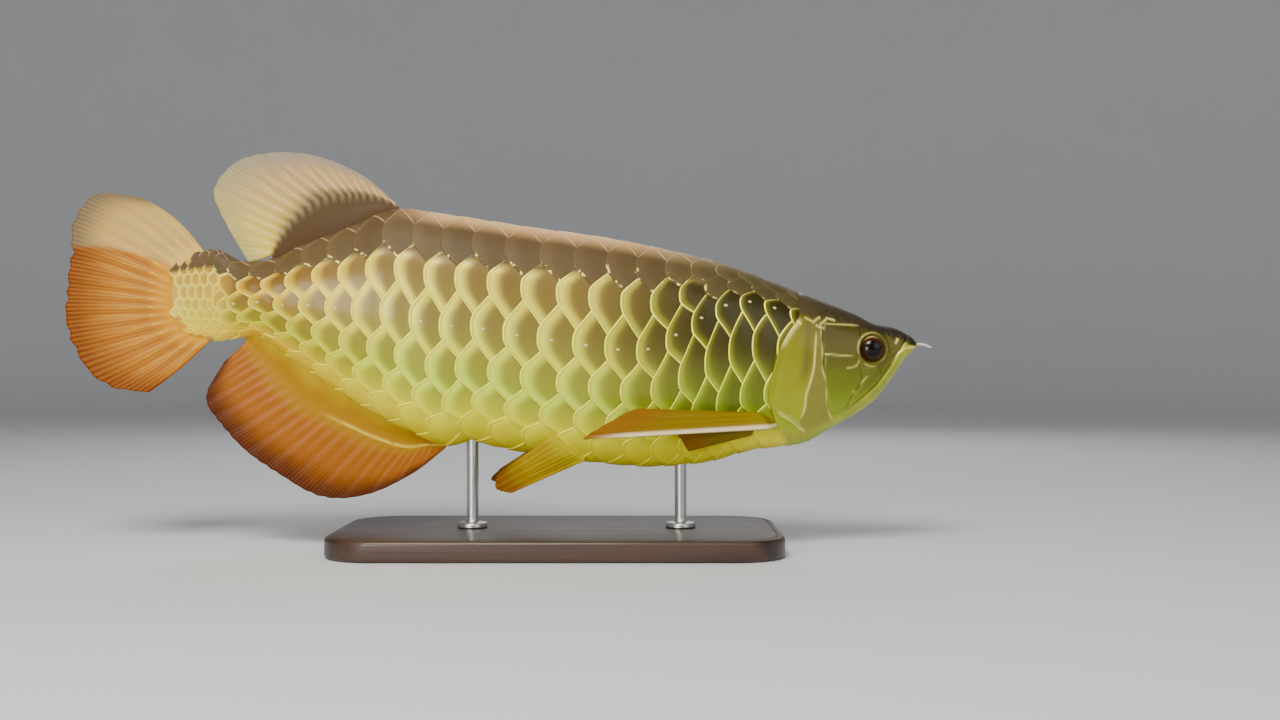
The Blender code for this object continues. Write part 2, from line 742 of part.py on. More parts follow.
def median_fins():
    """The three fins of the middle plane, by node name."""
    root = [Vector((p.x - GAP, 0, p.y)) for p in curve_points(TAIL_ROOT, ROOT_POINTS)]
    bed = [p - Vector((CAUDAL_BED, 0, 0)) for p in root]
    return {
        "dorsal_fin": Fin(sunk_line(back, DORSAL_REACH, -ROOT_SINK), flat(DORSAL_BED),
                          flat(DORSAL_MARGIN), (3.2 * MM, 1 * MM, MARGIN_HALF),
                          MEDIAN_RAYS["dorsal"], MEDIAN_ROWS),
        "anal_fin": Fin(sunk_line(belly, ANAL_REACH, ROOT_SINK), flat(ANAL_BED),
                        flat(ANAL_MARGIN), (3.4 * MM, 1 * MM, MARGIN_HALF),
                        MEDIAN_RAYS["anal"], MEDIAN_ROWS),
        "caudal_fin": Fin(root, bed, flat(CAUDAL_MARGIN), (1.5 * MM, 1.1 * MM, MARGIN_HALF),
                          MEDIAN_RAYS["caudal"], MEDIAN_ROWS, (-CAUDAL_BOW, CAUDAL_BOW),
                          forked=True),
    }


def paired(points, side):
    """Points (x, y, z) in mm given for the left side, on the side asked for."""
    return [Vector((x * MM, y * MM * side, z * MM)) for x, y, z in points]


# The root of a pectoral fin is (x, z) and lies in the flank, sunk below the surface.
PECTORAL_ROOT = ((164, 72.5), (161.5, 75.3), (158, 76.4), (154.5, 73.8), (151.5, 68.5))
PECTORAL_SINK = 2.2 * MM
PECTORAL_BED = ((157, 30.5, 71.5), (155, 28.5, 77.2), (151, 26, 80.4), (147.5, 22.5, 76.2),
                (144.5, 18, 66.5))
PECTORAL_MARGIN = ((51.4, 56, 66.8), (61, 50, 73), (84, 41, 83.5), (101, 32, 73), (112, 22, 58.3))
PECTORAL_RAYS = 8
PELVIC_ROOT = ((50, 5.5, 56.5), (44, 9, 61), (36, 12, 66))
PELVIC_BED = ((51, 8.5, 52), (43, 15, 58), (33, 20, 67))
PELVIC_MARGIN = {
    "left": ((2, 22, 36), (-6.5, 24, 38.4), (-1, 25, 45)),
    "right": ((9.5, 21, 34), (1, 24, 37), (2, 26, 45)),
}
PELVIC_RAYS = 6


def flank_root(points, side, sink):
    """Points (x, z) in mm as places in the flank, sunk below the body's surface."""
    return [Vector((x * MM, side * (side_y(x * MM, z * MM) - sink), z * MM)) for x, z in points]


def paired_fins():
    """The fins that come in pairs, by node name."""
    fins = {}
    for word, side in (("left", 1), ("right", -1)):
        fins["pectoral_fin_" + word] = Fin(
            flank_root(PECTORAL_ROOT, side, PECTORAL_SINK), paired(PECTORAL_BED, side),
            paired(PECTORAL_MARGIN, side), (1 * MM, 0.8 * MM, MARGIN_HALF), PECTORAL_RAYS,
            PAIRED_ROWS["pectoral"], lead=1.1 * MM)
        fins["pelvic_fin_" + word] = Fin(
            paired(PELVIC_ROOT, side), paired(PELVIC_BED, side),
            paired(PELVIC_MARGIN[word], side), (1.1 * MM, 0.8 * MM, MARGIN_HALF), PELVIC_RAYS,
            PAIRED_ROWS["pelvic"], lead=0.5 * MM)
    return fins


def rod_hole(x):
    """A helper object: the blind hole in the belly that a rod enters."""
    radius = ROD_RADIUS + GAP
    outline = [(radius, belly(x) - ROD_INSET), (radius, belly(x) + ROD_INSET)]
    return make_object("tool", lambda bm: turned(bm, x, outline), None)


def turned(bm, x, outline, sides=ROUND_SIDES):
    """A closed solid turned about an upright axis at x, from (radius, z) points."""
    rings = []
    for radius, z in outline:
        rings.append([bm.verts.new((x + radius * math.cos(2 * math.pi * i / sides),
                                    radius * math.sin(2 * math.pi * i / sides), z))
                      for i in range(sides)])
    bm.faces.new(rings[0])
    bm.faces.new(rings[-1])
    for a, b in zip(rings, rings[1:]):
        for i in range(sides):
            j = (i + 1) % sides
            bm.faces.new((a[i], a[j], b[j], b[i]))


def build_body(skin, fins):
    """The torso and the tail stalk, with slots for the fins and holes for the rods."""
    body = scaled_body()
    boolean(body, prism_tool(gill_region(GAP)), "DIFFERENCE")
    boolean(body, prism_tool(tail_region(0)), "DIFFERENCE")
    for name, fin in fins.items():
        if name == "caudal_fin":
            continue
        slot = make_object("tool", lambda bm: blade(bm, fin, GAP), None)
        boolean(body, slot, "DIFFERENCE")
    for x in ROD_PLACES.values():
        boolean(body, rod_hole(x), "DIFFERENCE")
    stalk = body.copy()
    stalk.data = body.data.copy()
    bpy.context.scene.collection.objects.link(stalk)
    front = [(STALK_X, 0), (FAR, 0), (FAR, FAR), (STALK_X, FAR)]
    rear = [(STALK_X - GAP, 0), (-FAR, 0), (-FAR, FAR), (STALK_X - GAP, FAR)]
    boolean(body, prism_tool(front), "INTERSECT")
    boolean(stalk, prism_tool(rear), "INTERSECT")
    keep_largest(body)
    keep_largest(stalk)
    return named(body, "torso", skin), named(stalk, "tail_stalk", skin)


def build_barbel(side, material):
    """One tapered barbel at the tip of the lower jaw."""
    root = Vector(mm(BARBEL_ROOT))
    root.y *= side
    tip = Vector((REACH, root.y * 1.5, root.z - BARBEL_DROP))
    lift = Vector((0, 0, BARBEL_LIFT))

    def fill(bm):
        rings = []
        for k in range(BARBEL_RINGS):
            t = k / (BARBEL_RINGS - 1)
            centre = root.lerp(tip, t) + lift * 4 * t * (1 - t)
            radius = BARBEL_BASE_RADIUS + (BARBEL_TIP_RADIUS - BARBEL_BASE_RADIUS) * t
            angles = [2 * math.pi * i / BARBEL_SIDES for i in range(BARBEL_SIDES)]
            rings.append([bm.verts.new(centre + radius * Vector((0, math.cos(a), math.sin(a))))
                          for a in angles])
        bm.faces.new(rings[0])
        bm.faces.new(rings[-1])
        for a, b in zip(rings, rings[1:]):
            for i in range(BARBEL_SIDES):
                j = (i + 1) % BARBEL_SIDES
                bm.faces.new((a[i], a[j], b[j], b[i]))
    return make_object("barbel_" + ("left" if side > 0 else "right"), fill, material)


def build_stand(wood, steel):
    """The flat base and the two rods that enter the belly."""
    def base(bm):
        outline = []
        half_x, half_y = STAND_LENGTH / 2 - STAND_CORNER, STAND_WIDTH / 2 - STAND_CORNER
        for quarter, (sx, sy) in enumerate(((1, 1), (-1, 1), (-1, -1), (1, -1))):
            for i in range(9):
                angle = math.pi / 2 * (quarter + i / 8)
                outline.append((STAND_CENTRE_X + sx * half_x + STAND_CORNER * math.cos(angle),
                                sy * half_y + STAND_CORNER * math.sin(angle)))
        low = [bm.verts.new((x, y, 0)) for x, y in outline]
        high = [bm.verts.new((x, y, STAND_THICKNESS)) for x, y in outline]
        bm.faces.new(low)
        bm.faces.new(high)
        for i in range(len(outline)):
            j = (i + 1) % len(outline)
            bm.faces.new((low[i], low[j], high[j], high[i]))
    make_object("stand_base", base, wood)
    for name, x in ROD_PLACES.items():
        foot = STAND_THICKNESS + GAP
        outline = [(ROD_FOOT_RADIUS, foot), (ROD_FOOT_RADIUS, foot + ROD_FOOT_HEIGHT),
                   (ROD_RADIUS, foot + ROD_FOOT_HEIGHT), (ROD_RADIUS, belly(x) + ROD_INSET - GAP)]
        make_object(name, lambda bm: turned(bm, x, outline), steel)


def main():
    """Build every node."""
    for obj in list(bpy.data.objects):
        bpy.data.objects.remove(obj)
    skin = finish_material("skin", (0.42, 0.40, 0.12), 0.4, 0.2)
    fin_orange = finish_material("fin_orange", (0.75, 0.25, 0.03), 0.45)
    eye_dark = finish_material("eye_dark", (0.03, 0.02, 0.015), 0.12)
    pale = finish_material("pale", (0.7, 0.68, 0.6), 0.4)
    wood = finish_material("wood", (0.05, 0.04, 0.035), 0.5)
    steel = finish_material("steel", (0.6, 0.6, 0.6), 0.3, 1.0)
    fins = {**median_fins(), **paired_fins()}
    build_head(skin)
    build_jaw(skin)
    build_body(skin, fins)
    for name, fin in fins.items():
        make_object(name, lambda bm: blade(bm, fin), fin_orange)
    for word, side in (("left", 1), ("right", -1)):
        make_object("eye_" + word, lambda bm: eye_ellipsoid(bm, side), eye_dark)
        build_barbel(side, pale)
    build_stand(wood, steel)


main()
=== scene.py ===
"""The looks of an asian arowana, life size, as a still display model on a plain stand.

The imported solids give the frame. One skin, the scales over it, the fins with their rays,
the eyes, the barbels and the stand are modelled here in metres, with the head towards +X
and +Z up. Tables of outline points are in millimetres, seen from the side as (x, z).
"""
import logging
import math
from collections.abc import Sequence
from dataclasses import dataclass, field, replace
from enum import Enum

import bmesh
import bpy
import numpy as np
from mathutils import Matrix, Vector


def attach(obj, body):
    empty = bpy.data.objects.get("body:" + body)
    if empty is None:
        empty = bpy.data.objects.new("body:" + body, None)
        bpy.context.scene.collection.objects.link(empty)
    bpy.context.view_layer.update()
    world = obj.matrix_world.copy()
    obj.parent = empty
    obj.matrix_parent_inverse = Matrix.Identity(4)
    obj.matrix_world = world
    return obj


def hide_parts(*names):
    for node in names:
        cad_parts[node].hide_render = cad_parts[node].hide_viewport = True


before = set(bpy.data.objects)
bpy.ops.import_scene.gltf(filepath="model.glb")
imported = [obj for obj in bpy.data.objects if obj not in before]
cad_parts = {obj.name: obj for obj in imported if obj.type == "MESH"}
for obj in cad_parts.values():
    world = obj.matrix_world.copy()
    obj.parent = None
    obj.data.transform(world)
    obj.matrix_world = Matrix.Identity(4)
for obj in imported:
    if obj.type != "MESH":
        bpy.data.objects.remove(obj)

log = logging.getLogger("arowana")

MM = 0.001
BODY = "root"
BAKE_MAP = "OFBake"

Array = np.ndarray
Knots = Sequence[tuple[float, ...]]
Pair = tuple[float, float]
Triple = Colour = tuple[float, float, float]
Material, Mesh, Object = bpy.types.Material, bpy.types.Mesh, bpy.types.Object
Node, Socket = bpy.types.Node, bpy.types.NodeSocket


class Side(Enum):
    """The two sides of the fish, by the sign of y."""

    LEFT = 1
    RIGHT = -1

    @property
    def word(self) -> str:
        """The side's name as the nodes spell it."""
        return self.name.lower()


# Shape of the body, as in the solids.
BACK_LINE = (
    (-200, 170), (-168, 176.3), (-148.4, 168.9), (-133, 170.6), (-117, 178.6), (-87.5, 190),
    (-57.9, 200.3), (-34.3, 197.4), (13.2, 190.1), (66.2, 182.6), (107, 174.3), (134.7, 167.3),
    (162.8, 156.6), (190.9, 145.5), (211, 137.4), (221, 132.2), (232.9, 129.7), (239.4, 126.8),
    (244, 123.8), (246.8, 121.6),
)
BELLY_LINE = (
    (-200, 129), (-168, 122.6), (-144, 125.4), (-118.2, 108.7), (-86.3, 87.5), (-47.9, 67.4), (-29.6, 61),
    (-14.5, 63.6), (0, 60), (30.7, 55), (62.1, 50.6), (89.8, 48.6), (120.6, 50.8), (151.6, 58.6),
    (178.5, 62.1), (198.6, 72.7), (220.4, 86.3), (231.9, 100), (240, 112.3), (244, 116), (246.8, 118.4),
)
HALF_WIDTH = (
    (-200, 1.3), (-190, 2.2), (-180, 4), (-163, 7.5), (-140, 12.2), (-105, 18.4), (-60, 24.4), (0, 27.6),
    (60, 28.4), (110, 27.8), (150, 26.2), (178, 24), (190, 22.4), (202, 20.2), (214, 17.2), (223, 14.8),
    (229, 13), (234, 11.2), (239, 8.8), (243, 6.4), (246.8, 3.6),
)
WIDEST_SHARE = 0.44
BACK_FULLNESS = 2.5
BELLY_FULLNESS = 1.95

GILL_EDGE = (
    (181, 162), (178.5, 147), (175.5, 135.9), (169.6, 127.7), (163.7, 117), (159.6, 102.2), (157.8, 90.4),
    (160, 84), (165.5, 80.4), (172.6, 76.4), (177.3, 72.1), (181, 66.2), (184, 56),
)
GAPE_LINE = (
    (241.2, 125), (237.6, 120), (233.4, 113.5), (228.1, 105.2), (221.6, 96.9), (214.5, 90.4), (209.2, 86),
    (204.6, 81),
)
TAIL_ROOT = (
    (-167, 178), (-180, 172), (-188, 165), (-190.6, 155), (-191, 147.5), (-190.5, 140), (-187, 132.5),
    (-178, 125.6), (-160, 121),
)

# The lattice of the scales, as in the solids.
LAST_ROW = 7
NAPE_ROWS = (0, 0.03, 0.09, 0.17, 0.41, 0.68, 0.85, 1)
FLANK_ROWS = (0, 0.12, 0.28, 0.49, 0.67, 0.82, 0.92, 1)
STALK_ROWS = (0, 0.15, 0.34, 0.58, 0.76, 0.88, 0.95, 1)
NAPE_X = 155
FLANK_FRONT_X = 78
FLANK_REAR_X = -99
STALK_ROWS_X = -164
COLUMN_PLACES = (
    (-3, 199), (0, 155.4), (4, 98.1), (6, 63.8), (10, -13.6), (17, -130), (19, -158.4), (23, -189.7),
    (25, -204),
)
FIRST_COLUMN = -2
FULL_PITCH = 19.4
ROW_STEPS = (0.5, 0.7, 0.95, 1, 1, 0.95, 0.75, 0.6)

EYE_CENTRE = (219.1, 117.3)
EYE_RADIUS = 7.7
EYE_DEPTH = 5.0
EYE_INSET = 3.2


def smooth(low: float, high: float, value: Array) -> Array:
    """A smooth rise from 0 at low to 1 at high.

    Args:
        low: value at which the rise starts; may be above high for a fall.
        high: value at which it ends.
        value: where it is read.

    Returns:
        Shares from 0 to 1.
    """
    share = np.clip((np.asarray(value, float) - low) / (high - low), 0, 1)
    return share * share * (3 - 2 * share)


def bell(value: Array, centre: float, width: float) -> Array:
    """A bell of height 1 round a centre, with its width as one deviation."""
    return np.exp(-((np.asarray(value, float) - centre) / width) ** 2)


def curve_at(points: Array, share: Array) -> Array:
    """Places on a smooth curve through evenly spaced points.

    Args:
        points: the points, one row each.
        share: shares from 0 at the first point to 1 at the last.

    Returns:
        One place for each share.
    """
    points = np.asarray(points, float)
    count = len(points) - 1
    padded = np.vstack([2 * points[0] - points[1], points, 2 * points[-1] - points[-2]])
    place = np.clip(np.asarray(share, float) * count, 0, count)
    index = np.minimum(place.astype(int), count - 1)
    t = (place - index)[..., None]
    p0, p1, p2, p3 = (padded[index + j] for j in range(4))
    return (2 * p1 + (p2 - p0) * t + (2 * p0 - 5 * p1 + 4 * p2 - p3) * t * t
            + (3 * p1 - p0 - 3 * p2 + p3) * t ** 3) / 2


def smooth_line(knots: Knots, count: int = 60) -> Array:
    """A smooth line of count places through a table's points."""
    return curve_at(np.array(knots, float), np.linspace(0, 1, count))


def line_distance(points: Array, line: Array) -> tuple[Array, Array]:
    """How far points lie from an open line, in its own units.

    Args:
        points: (n, 2) places.
        line: (m, 2) corners of the line.

    Returns:
        The distances, and the share along the line of each nearest place.
    """
    best = np.full(len(points), np.inf)
    share = np.zeros(len(points))
    for index, (start, end) in enumerate(zip(line, line[1:])):
        along = end - start
        t = np.clip((points - start) @ along / (along @ along), 0, 1)
        gap = np.hypot(*(points - start - t[:, None] * along).T)
        nearer = gap < best
        best = np.where(nearer, gap, best)
        share = np.where(nearer, (index + t) / (len(line) - 1), share)
    return best, share


def outline_distance(points: Array, outline: Array) -> Array:
    """Signed distance to a closed outline, negative inside it.

    Args:
        points: (n, 2) places.
        outline: (m, 2) corners, without a repeated last one.

    Returns:
        The distances.
    """
    closed = np.vstack([outline, outline[:1]])
    inside = np.zeros(len(points), bool)
    for (x0, z0), (x1, z1) in zip(closed, closed[1:]):
        if z0 == z1:
            continue
        crosses = (z0 > points[:, 1]) != (z1 > points[:, 1])
        reach = (x1 - x0) * (points[:, 1] - z0) / (z1 - z0) + x0
        inside ^= crosses & (points[:, 0] < reach)
    return line_distance(points, closed)[0] * np.where(inside, -1, 1)


class Profile:
    """A smooth function through (x, value) knots, with no overshoot between them."""

    def __init__(self, knots: Knots) -> None:
        """Work out the slopes at the knots.

        Args:
            knots: (x, value) pairs in order of x.
        """
        table = np.array(knots, float)
        self.xs, self.ys = table[:, 0], table[:, 1]
        self.steps = np.diff(self.xs)
        slopes = np.diff(self.ys) / self.steps
        self.tangents = np.concatenate([slopes[:1], np.zeros(len(slopes) - 1), slopes[-1:]])
        for i, (h0, h1, s0, s1) in enumerate(zip(self.steps, self.steps[1:], slopes, slopes[1:])):
            if s0 * s1 > 0:
                w0, w1 = 2 * h1 + h0, h1 + 2 * h0
                self.tangents[i + 1] = (w0 + w1) / (w0 / s0 + w1 / s1)

    def __call__(self, x: Array) -> Array:
        """The values at x, held at the end knots' beyond them.

        Args:
            x: where they are read.

        Returns:
            The values.
        """
        x = np.clip(x, self.xs[0], self.xs[-1])
        i = np.clip(np.searchsorted(self.xs, x, "right") - 1, 0, len(self.xs) - 2)
        h = self.steps[i]
        t = (x - self.xs[i]) / h
        a, b = self.ys[i], self.ys[i + 1]
        ta, tb = self.tangents[i] * h, self.tangents[i + 1] * h
        return (a * (1 + 2 * t) * (1 - t) ** 2 + ta * t * (1 - t) ** 2
                + b * t * t * (3 - 2 * t) - tb * t * t * (1 - t))


class Body:
    """The smooth form of the fish, in millimetres, from its lines and its section."""

    def __init__(self) -> None:
        """Read the three lines."""
        self.back = Profile(BACK_LINE)
        self.belly = Profile(BELLY_LINE)
        self.half_width = Profile(HALF_WIDTH)

    def section(self, depth: Array) -> Array:
        """Half-width of the section, as a share of the largest.

        Args:
            depth: shares from 0 at the back to 1 at the keel.

        Returns:
            Shares from 0 to 1.
        """
        above = depth < WIDEST_SHARE
        off = np.where(above, (WIDEST_SHARE - depth) / WIDEST_SHARE,
                       (depth - WIDEST_SHARE) / (1 - WIDEST_SHARE))
        power = np.where(above, BACK_FULLNESS, BELLY_FULLNESS)
        return np.sqrt(np.clip(1 - np.clip(off, 0, 1) ** power, 0, 1))

    def flank(self, x: Array, turn: Array) -> Array:
        """Places on the body.

        Args:
            x: stations along the fish.
            turn: how far round, 0 at the back, 1 or -1 at the keel, + on the left.

        Returns:
            An array of places with (x, y, z) last.
        """
        x, turn = np.broadcast_arrays(np.asarray(x, float), np.asarray(turn, float))
        turn = np.where(np.abs(turn) > 1, turn - 2 * np.sign(turn), turn)
        depth = (1 - np.cos(math.pi * turn)) / 2
        top, bottom = self.back(x), self.belly(x)
        y = np.sign(turn) * self.half_width(x) * self.section(depth)
        return np.stack([x, y, top - depth * (top - bottom)], -1)

    def normal(self, x: Array, turn: Array) -> Array:
        """Outward directions on the body.

        Args:
            x: stations along the fish.
            turn: how far round.

        Returns:
            Directions of length 1.
        """
        step_x, step_turn = 0.6, 0.012
        along = self.flank(x + step_x, turn) - self.flank(x - step_x, turn)
        round_it = self.flank(x, turn + step_turn) - self.flank(x, turn - step_turn)
        cross = np.cross(along, round_it)
        return cross / np.linalg.norm(cross, axis=-1, keepdims=True)

    def raised(self, x: Array, turn: Array, proud: Array) -> Array:
        """Places standing proud of the body along its surface's direction."""
        return self.flank(x, turn) + self.normal(x, turn) * np.asarray(proud)[..., None]

    def depth_share(self, x: Array, z: Array) -> Array:
        """How deep a height lies in the section at x, 0 at the back and 1 at the keel."""
        return np.clip((self.back(x) - z) / (self.back(x) - self.belly(x)), 0, 1)

    def side_y(self, x: float, z: float) -> float:
        """Half-width of the body at a place seen from the side."""
        return float(self.half_width(x) * self.section(self.depth_share(x, z)))


FISH = Body()


class Lattice:
    """Places of the scales: column k runs to the tail, row t round the body."""

    def __init__(self) -> None:
        """Read the tables of columns and rows."""
        self.column_x = Profile(COLUMN_PLACES)
        self.tables = {
            name: Profile([(t, math.acos(1 - 2 * share) / math.pi)
                           for t, share in enumerate(shares)])
            for name, shares in (("nape", NAPE_ROWS), ("flank", FLANK_ROWS),
                                 ("stalk", STALK_ROWS))
        }
        self.row_step = Profile(list(enumerate(ROW_STEPS)))

    @staticmethod
    def within(row: Array) -> Array:
        """Rows counted past the keel, as rows of the other side."""
        return np.where(np.abs(row) > LAST_ROW, row - np.sign(row) * 2 * LAST_ROW, row)

    def turn(self, x: Array, row: Array) -> Array:
        """How far round the body a row lies.

        Args:
            x: stations along the fish.
            row: rows, + on the left.

        Returns:
            Turns, 0 at the back and 1 or -1 at the keel.
        """
        row = self.within(row)
        to_nape = smooth(FLANK_FRONT_X, NAPE_X, x)
        to_stalk = smooth(FLANK_REAR_X, STALK_ROWS_X, x)
        size = np.abs(row)
        flank = self.tables["flank"](size)
        turn = (flank + (self.tables["nape"](size) - flank) * to_nape
                + (self.tables["stalk"](size) - flank) * to_stalk)
        return np.sign(row) * turn

    def step(self, column: Array, row: Array) -> Array:
        """How far a rear rim stands proud.

        Args:
            column: its column.
            row: its row.

        Returns:
            Shares of a full step.
        """
        row = self.within(row)
        pitch = self.column_x(column - 0.5) - self.column_x(column + 0.5)
        return np.minimum(1, pitch / FULL_PITCH) * self.row_step(np.abs(row))


LATTICE = Lattice()


def head_zone(x: Array, z: Array) -> Array:
    """Signed distance into the head's skin: positive in front of the gill edge, in mm.

    Args:
        x: stations.
        z: heights.

    Returns:
        Distances, negative behind the edge, where the scales lie.
    """
    edge = smooth_line(GILL_EDGE, 61)
    edge_x = np.interp(z, edge[::-1, 1], edge[::-1, 0])
    places = np.stack([np.ravel(x), np.ravel(z)], 1)
    gap = line_distance(places, edge)[0].reshape(np.shape(x))
    cover = gap * np.where(x > edge_x, 1, -1)
    fold = -outline_distance(places, np.array(THROAT_FOLD, float)).reshape(np.shape(x))
    return np.maximum(cover, fold)


def behind_root(x: Array, z: Array) -> Array:
    """How far behind the tail's root a place on the stalk lies, in mm.

    Args:
        x: stations.
        z: heights.

    Returns:
        Distances, negative ahead of the root.
    """
    edge = smooth_line(TAIL_ROOT, 41)
    return np.interp(z, edge[::-1, 1], edge[::-1, 0]) - x


# Pale fold of skin between the lower end of the gill cover and the throat.
THROAT_FOLD = (
    (158.6, 86.5), (165.5, 80.4), (172.6, 76.4), (177.3, 72.1), (187, 67), (187, 60), (172, 58),
    (166.5, 68), (161.4, 77),
)


def linear(colour: Colour) -> tuple[float, ...]:
    """A colour given as screen values 0 to 255, as a shader takes it.

    Args:
        colour: red, green and blue.

    Returns:
        Linear values with an alpha of 1.
    """
    shares = [value / 255 for value in colour]
    return (*(share / 12.92 if share <= 0.04045 else ((share + 0.055) / 1.055) ** 2.4
              for share in shares), 1.0)


class NodeTree:
    """A node tree under construction, with one method that makes any node."""

    def __init__(self, tree: bpy.types.NodeTree) -> None:
        """Wrap a shader or geometry node tree."""
        self.tree = tree

    def node(self, kind: str, settings: dict | None = None,
             sockets: dict | None = None) -> Node:
        """Make a node.

        Args:
            kind: the node's type name.
            settings: properties of the node, set first; "stops" fills a colour ramp.
            sockets: values, links or wires, by input name or index.

        Returns:
            The node.
        """
        made = self.tree.nodes.new(kind)
        for key, value in (settings or {}).items():
            if key == "stops":
                self._fill_ramp(made.color_ramp, value)
            else:
                setattr(made, key, value)
        for key, value in (sockets or {}).items():
            socket = made.inputs[key]
            if isinstance(value, Wire):
                self.tree.links.new(value.socket, socket)
            elif isinstance(value, Socket):
                self.tree.links.new(value, socket)
            else:
                socket.default_value = value
        return made

    @staticmethod
    def _fill_ramp(ramp: bpy.types.ColorRamp, stops: Sequence[tuple[float, tuple]]) -> None:
        """Give a ramp its stops.

        Args:
            ramp: the ramp.
            stops: (place, colour) pairs in order.
        """
        while len(ramp.elements) > 1:
            ramp.elements.remove(ramp.elements[-1])
        for index, (place, colour) in enumerate(stops):
            stop = ramp.elements[0] if index == 0 else ramp.elements.new(place)
            stop.position = place
            stop.color = colour


class Wire:
    """A number coming out of a shader node, which takes part in sums."""

    def __init__(self, graph: NodeTree, socket: Socket) -> None:
        """Hold an output socket and the tree that it belongs to."""
        self.graph = graph
        self.socket = socket

    def maths(self, operation: str, *terms: "Wire | float") -> "Wire":
        """What a Math node makes of the given terms."""
        made = self.graph.node("ShaderNodeMath", {"operation": operation}, dict(enumerate(terms)))
        return Wire(self.graph, made.outputs[0])

    def __add__(self, other: "Wire | float") -> "Wire":
        """self + other."""
        return self.maths("ADD", self, other)

    __radd__ = __add__

    def __sub__(self, other: "Wire | float") -> "Wire":
        """self - other."""
        return self.maths("SUBTRACT", self, other)

    def __rsub__(self, other: "Wire | float") -> "Wire":
        """other - self."""
        return self.maths("SUBTRACT", other, self)

    def __mul__(self, other: "Wire | float") -> "Wire":
        """self * other."""
        return self.maths("MULTIPLY", self, other)

    __rmul__ = __mul__

    def __truediv__(self, other: "Wire | float") -> "Wire":
        """self / other."""
        return self.maths("DIVIDE", self, other)

    def __rtruediv__(self, other: "Wire | float") -> "Wire":
        """other / self."""
        return self.maths("DIVIDE", other, self)

    def most(self, other: "Wire | float") -> "Wire":
        """The larger of two."""
        return self.maths("MAXIMUM", self, other)

    def wave(self) -> "Wire":
        """The sine."""
        return self.maths("SINE", self)

    def rise(self, low: float, high: float) -> "Wire":
        """A smooth rise, or a fall where low is above high.

        Args:
            low: where it is 0.
            high: where it is 1.

        Returns:
            The result.
        """
        settings = {"interpolation_type": "SMOOTHSTEP"}
        ends = {1: low, 2: high} if low < high else {1: high, 2: low}
        made = self.graph.node("ShaderNodeMapRange", settings, {0: self, **ends})
        risen = Wire(self.graph, made.outputs[0])
        return risen if low < high else 1 - risen


class Finish(NodeTree):
    """A material under construction, ending in one Principled shader."""

    def __init__(self, name: str, constants: dict[str, float]) -> None:
        """Start a material.

        Args:
            name: the material's name.
            constants: values on the shader's own sockets.
        """
        self.material = bpy.data.materials.new(name)
        self.material.use_nodes = True
        super().__init__(self.material.node_tree)
        self.shader = self.tree.nodes["Principled BSDF"]
        for key, value in constants.items():
            self.shader.inputs[key].default_value = value

    def __getitem__(self, name: str) -> Wire:
        """A number stored on the mesh."""
        made = self.node("ShaderNodeAttribute", {"attribute_name": name})
        return Wire(self, made.outputs["Fac"])

    def place(self) -> Socket:
        """Object coordinates."""
        return self.node("ShaderNodeTexCoord").outputs["Object"]

    def axes(self) -> tuple[Wire, Wire, Wire]:
        """Object coordinates one by one."""
        made = self.node("ShaderNodeSeparateXYZ", None, {0: self.place()})
        return tuple(Wire(self, made.outputs[i]) for i in range(3))

    def noise(self, scale: float, detail: float = 3.0, stretch: tuple | None = None) -> Wire:
        """Noise on Object coordinates.

        Args:
            scale: features per metre.
            detail: octaves.
            stretch: scale along x, y and z, if they differ.

        Returns:
            Values about 0 to 1.
        """
        where = self.place()
        if stretch is not None:
            mapping = self.node("ShaderNodeMapping", None, {"Vector": where, "Scale": stretch})
            where = mapping.outputs[0]
        made = self.node("ShaderNodeTexNoise", None,
                         {"Vector": where, "Scale": scale, "Detail": detail})
        return Wire(self, made.outputs["Fac"])

    def ramp(self, factor: Wire, stops: Sequence[tuple[float, Colour]]) -> Socket:
        """A colour read at factor from a ramp of (place, colour) stops."""
        stops = [(place, linear(colour)) for place, colour in stops]
        return self.node("ShaderNodeValToRGB", {"stops": stops}, {0: factor}).outputs[0]

    def mix(self, factor: Wire, low: Socket | Colour, high: Socket | Colour,
            blend: str = "MIX") -> Socket:
        """A colour between two.

        Args:
            factor: share of the second.
            low: first colour or socket.
            high: second colour or socket.
            blend: the blend mode.

        Returns:
            The colour's socket.
        """
        low, high = (linear(end) if isinstance(end, tuple) else end for end in (low, high))
        made = self.node("ShaderNodeMix", {"data_type": "RGBA", "blend_type": blend},
                         {0: factor, 6: low, 7: high})
        return made.outputs[2]

    def feed(self, **inputs: object) -> None:
        """Link what changes over the surface; an underscore stands for a space."""
        for key, value in inputs.items():
            socket = value.socket if isinstance(value, Wire) else value
            self.tree.links.new(socket, self.shader.inputs[key.replace("_", " ")])

    def relief(self, height: Wire, distance: float, strength: float = 1.0) -> None:
        """Feed the Normal from a height.

        Args:
            height: the height, 0 to 1.
            distance: its depth in metres.
            strength: how much of it shows.
        """
        made = self.node("ShaderNodeBump", None,
                         {"Strength": strength, "Distance": distance, "Height": height})
        self.tree.links.new(made.outputs[0], self.shader.inputs["Normal"])


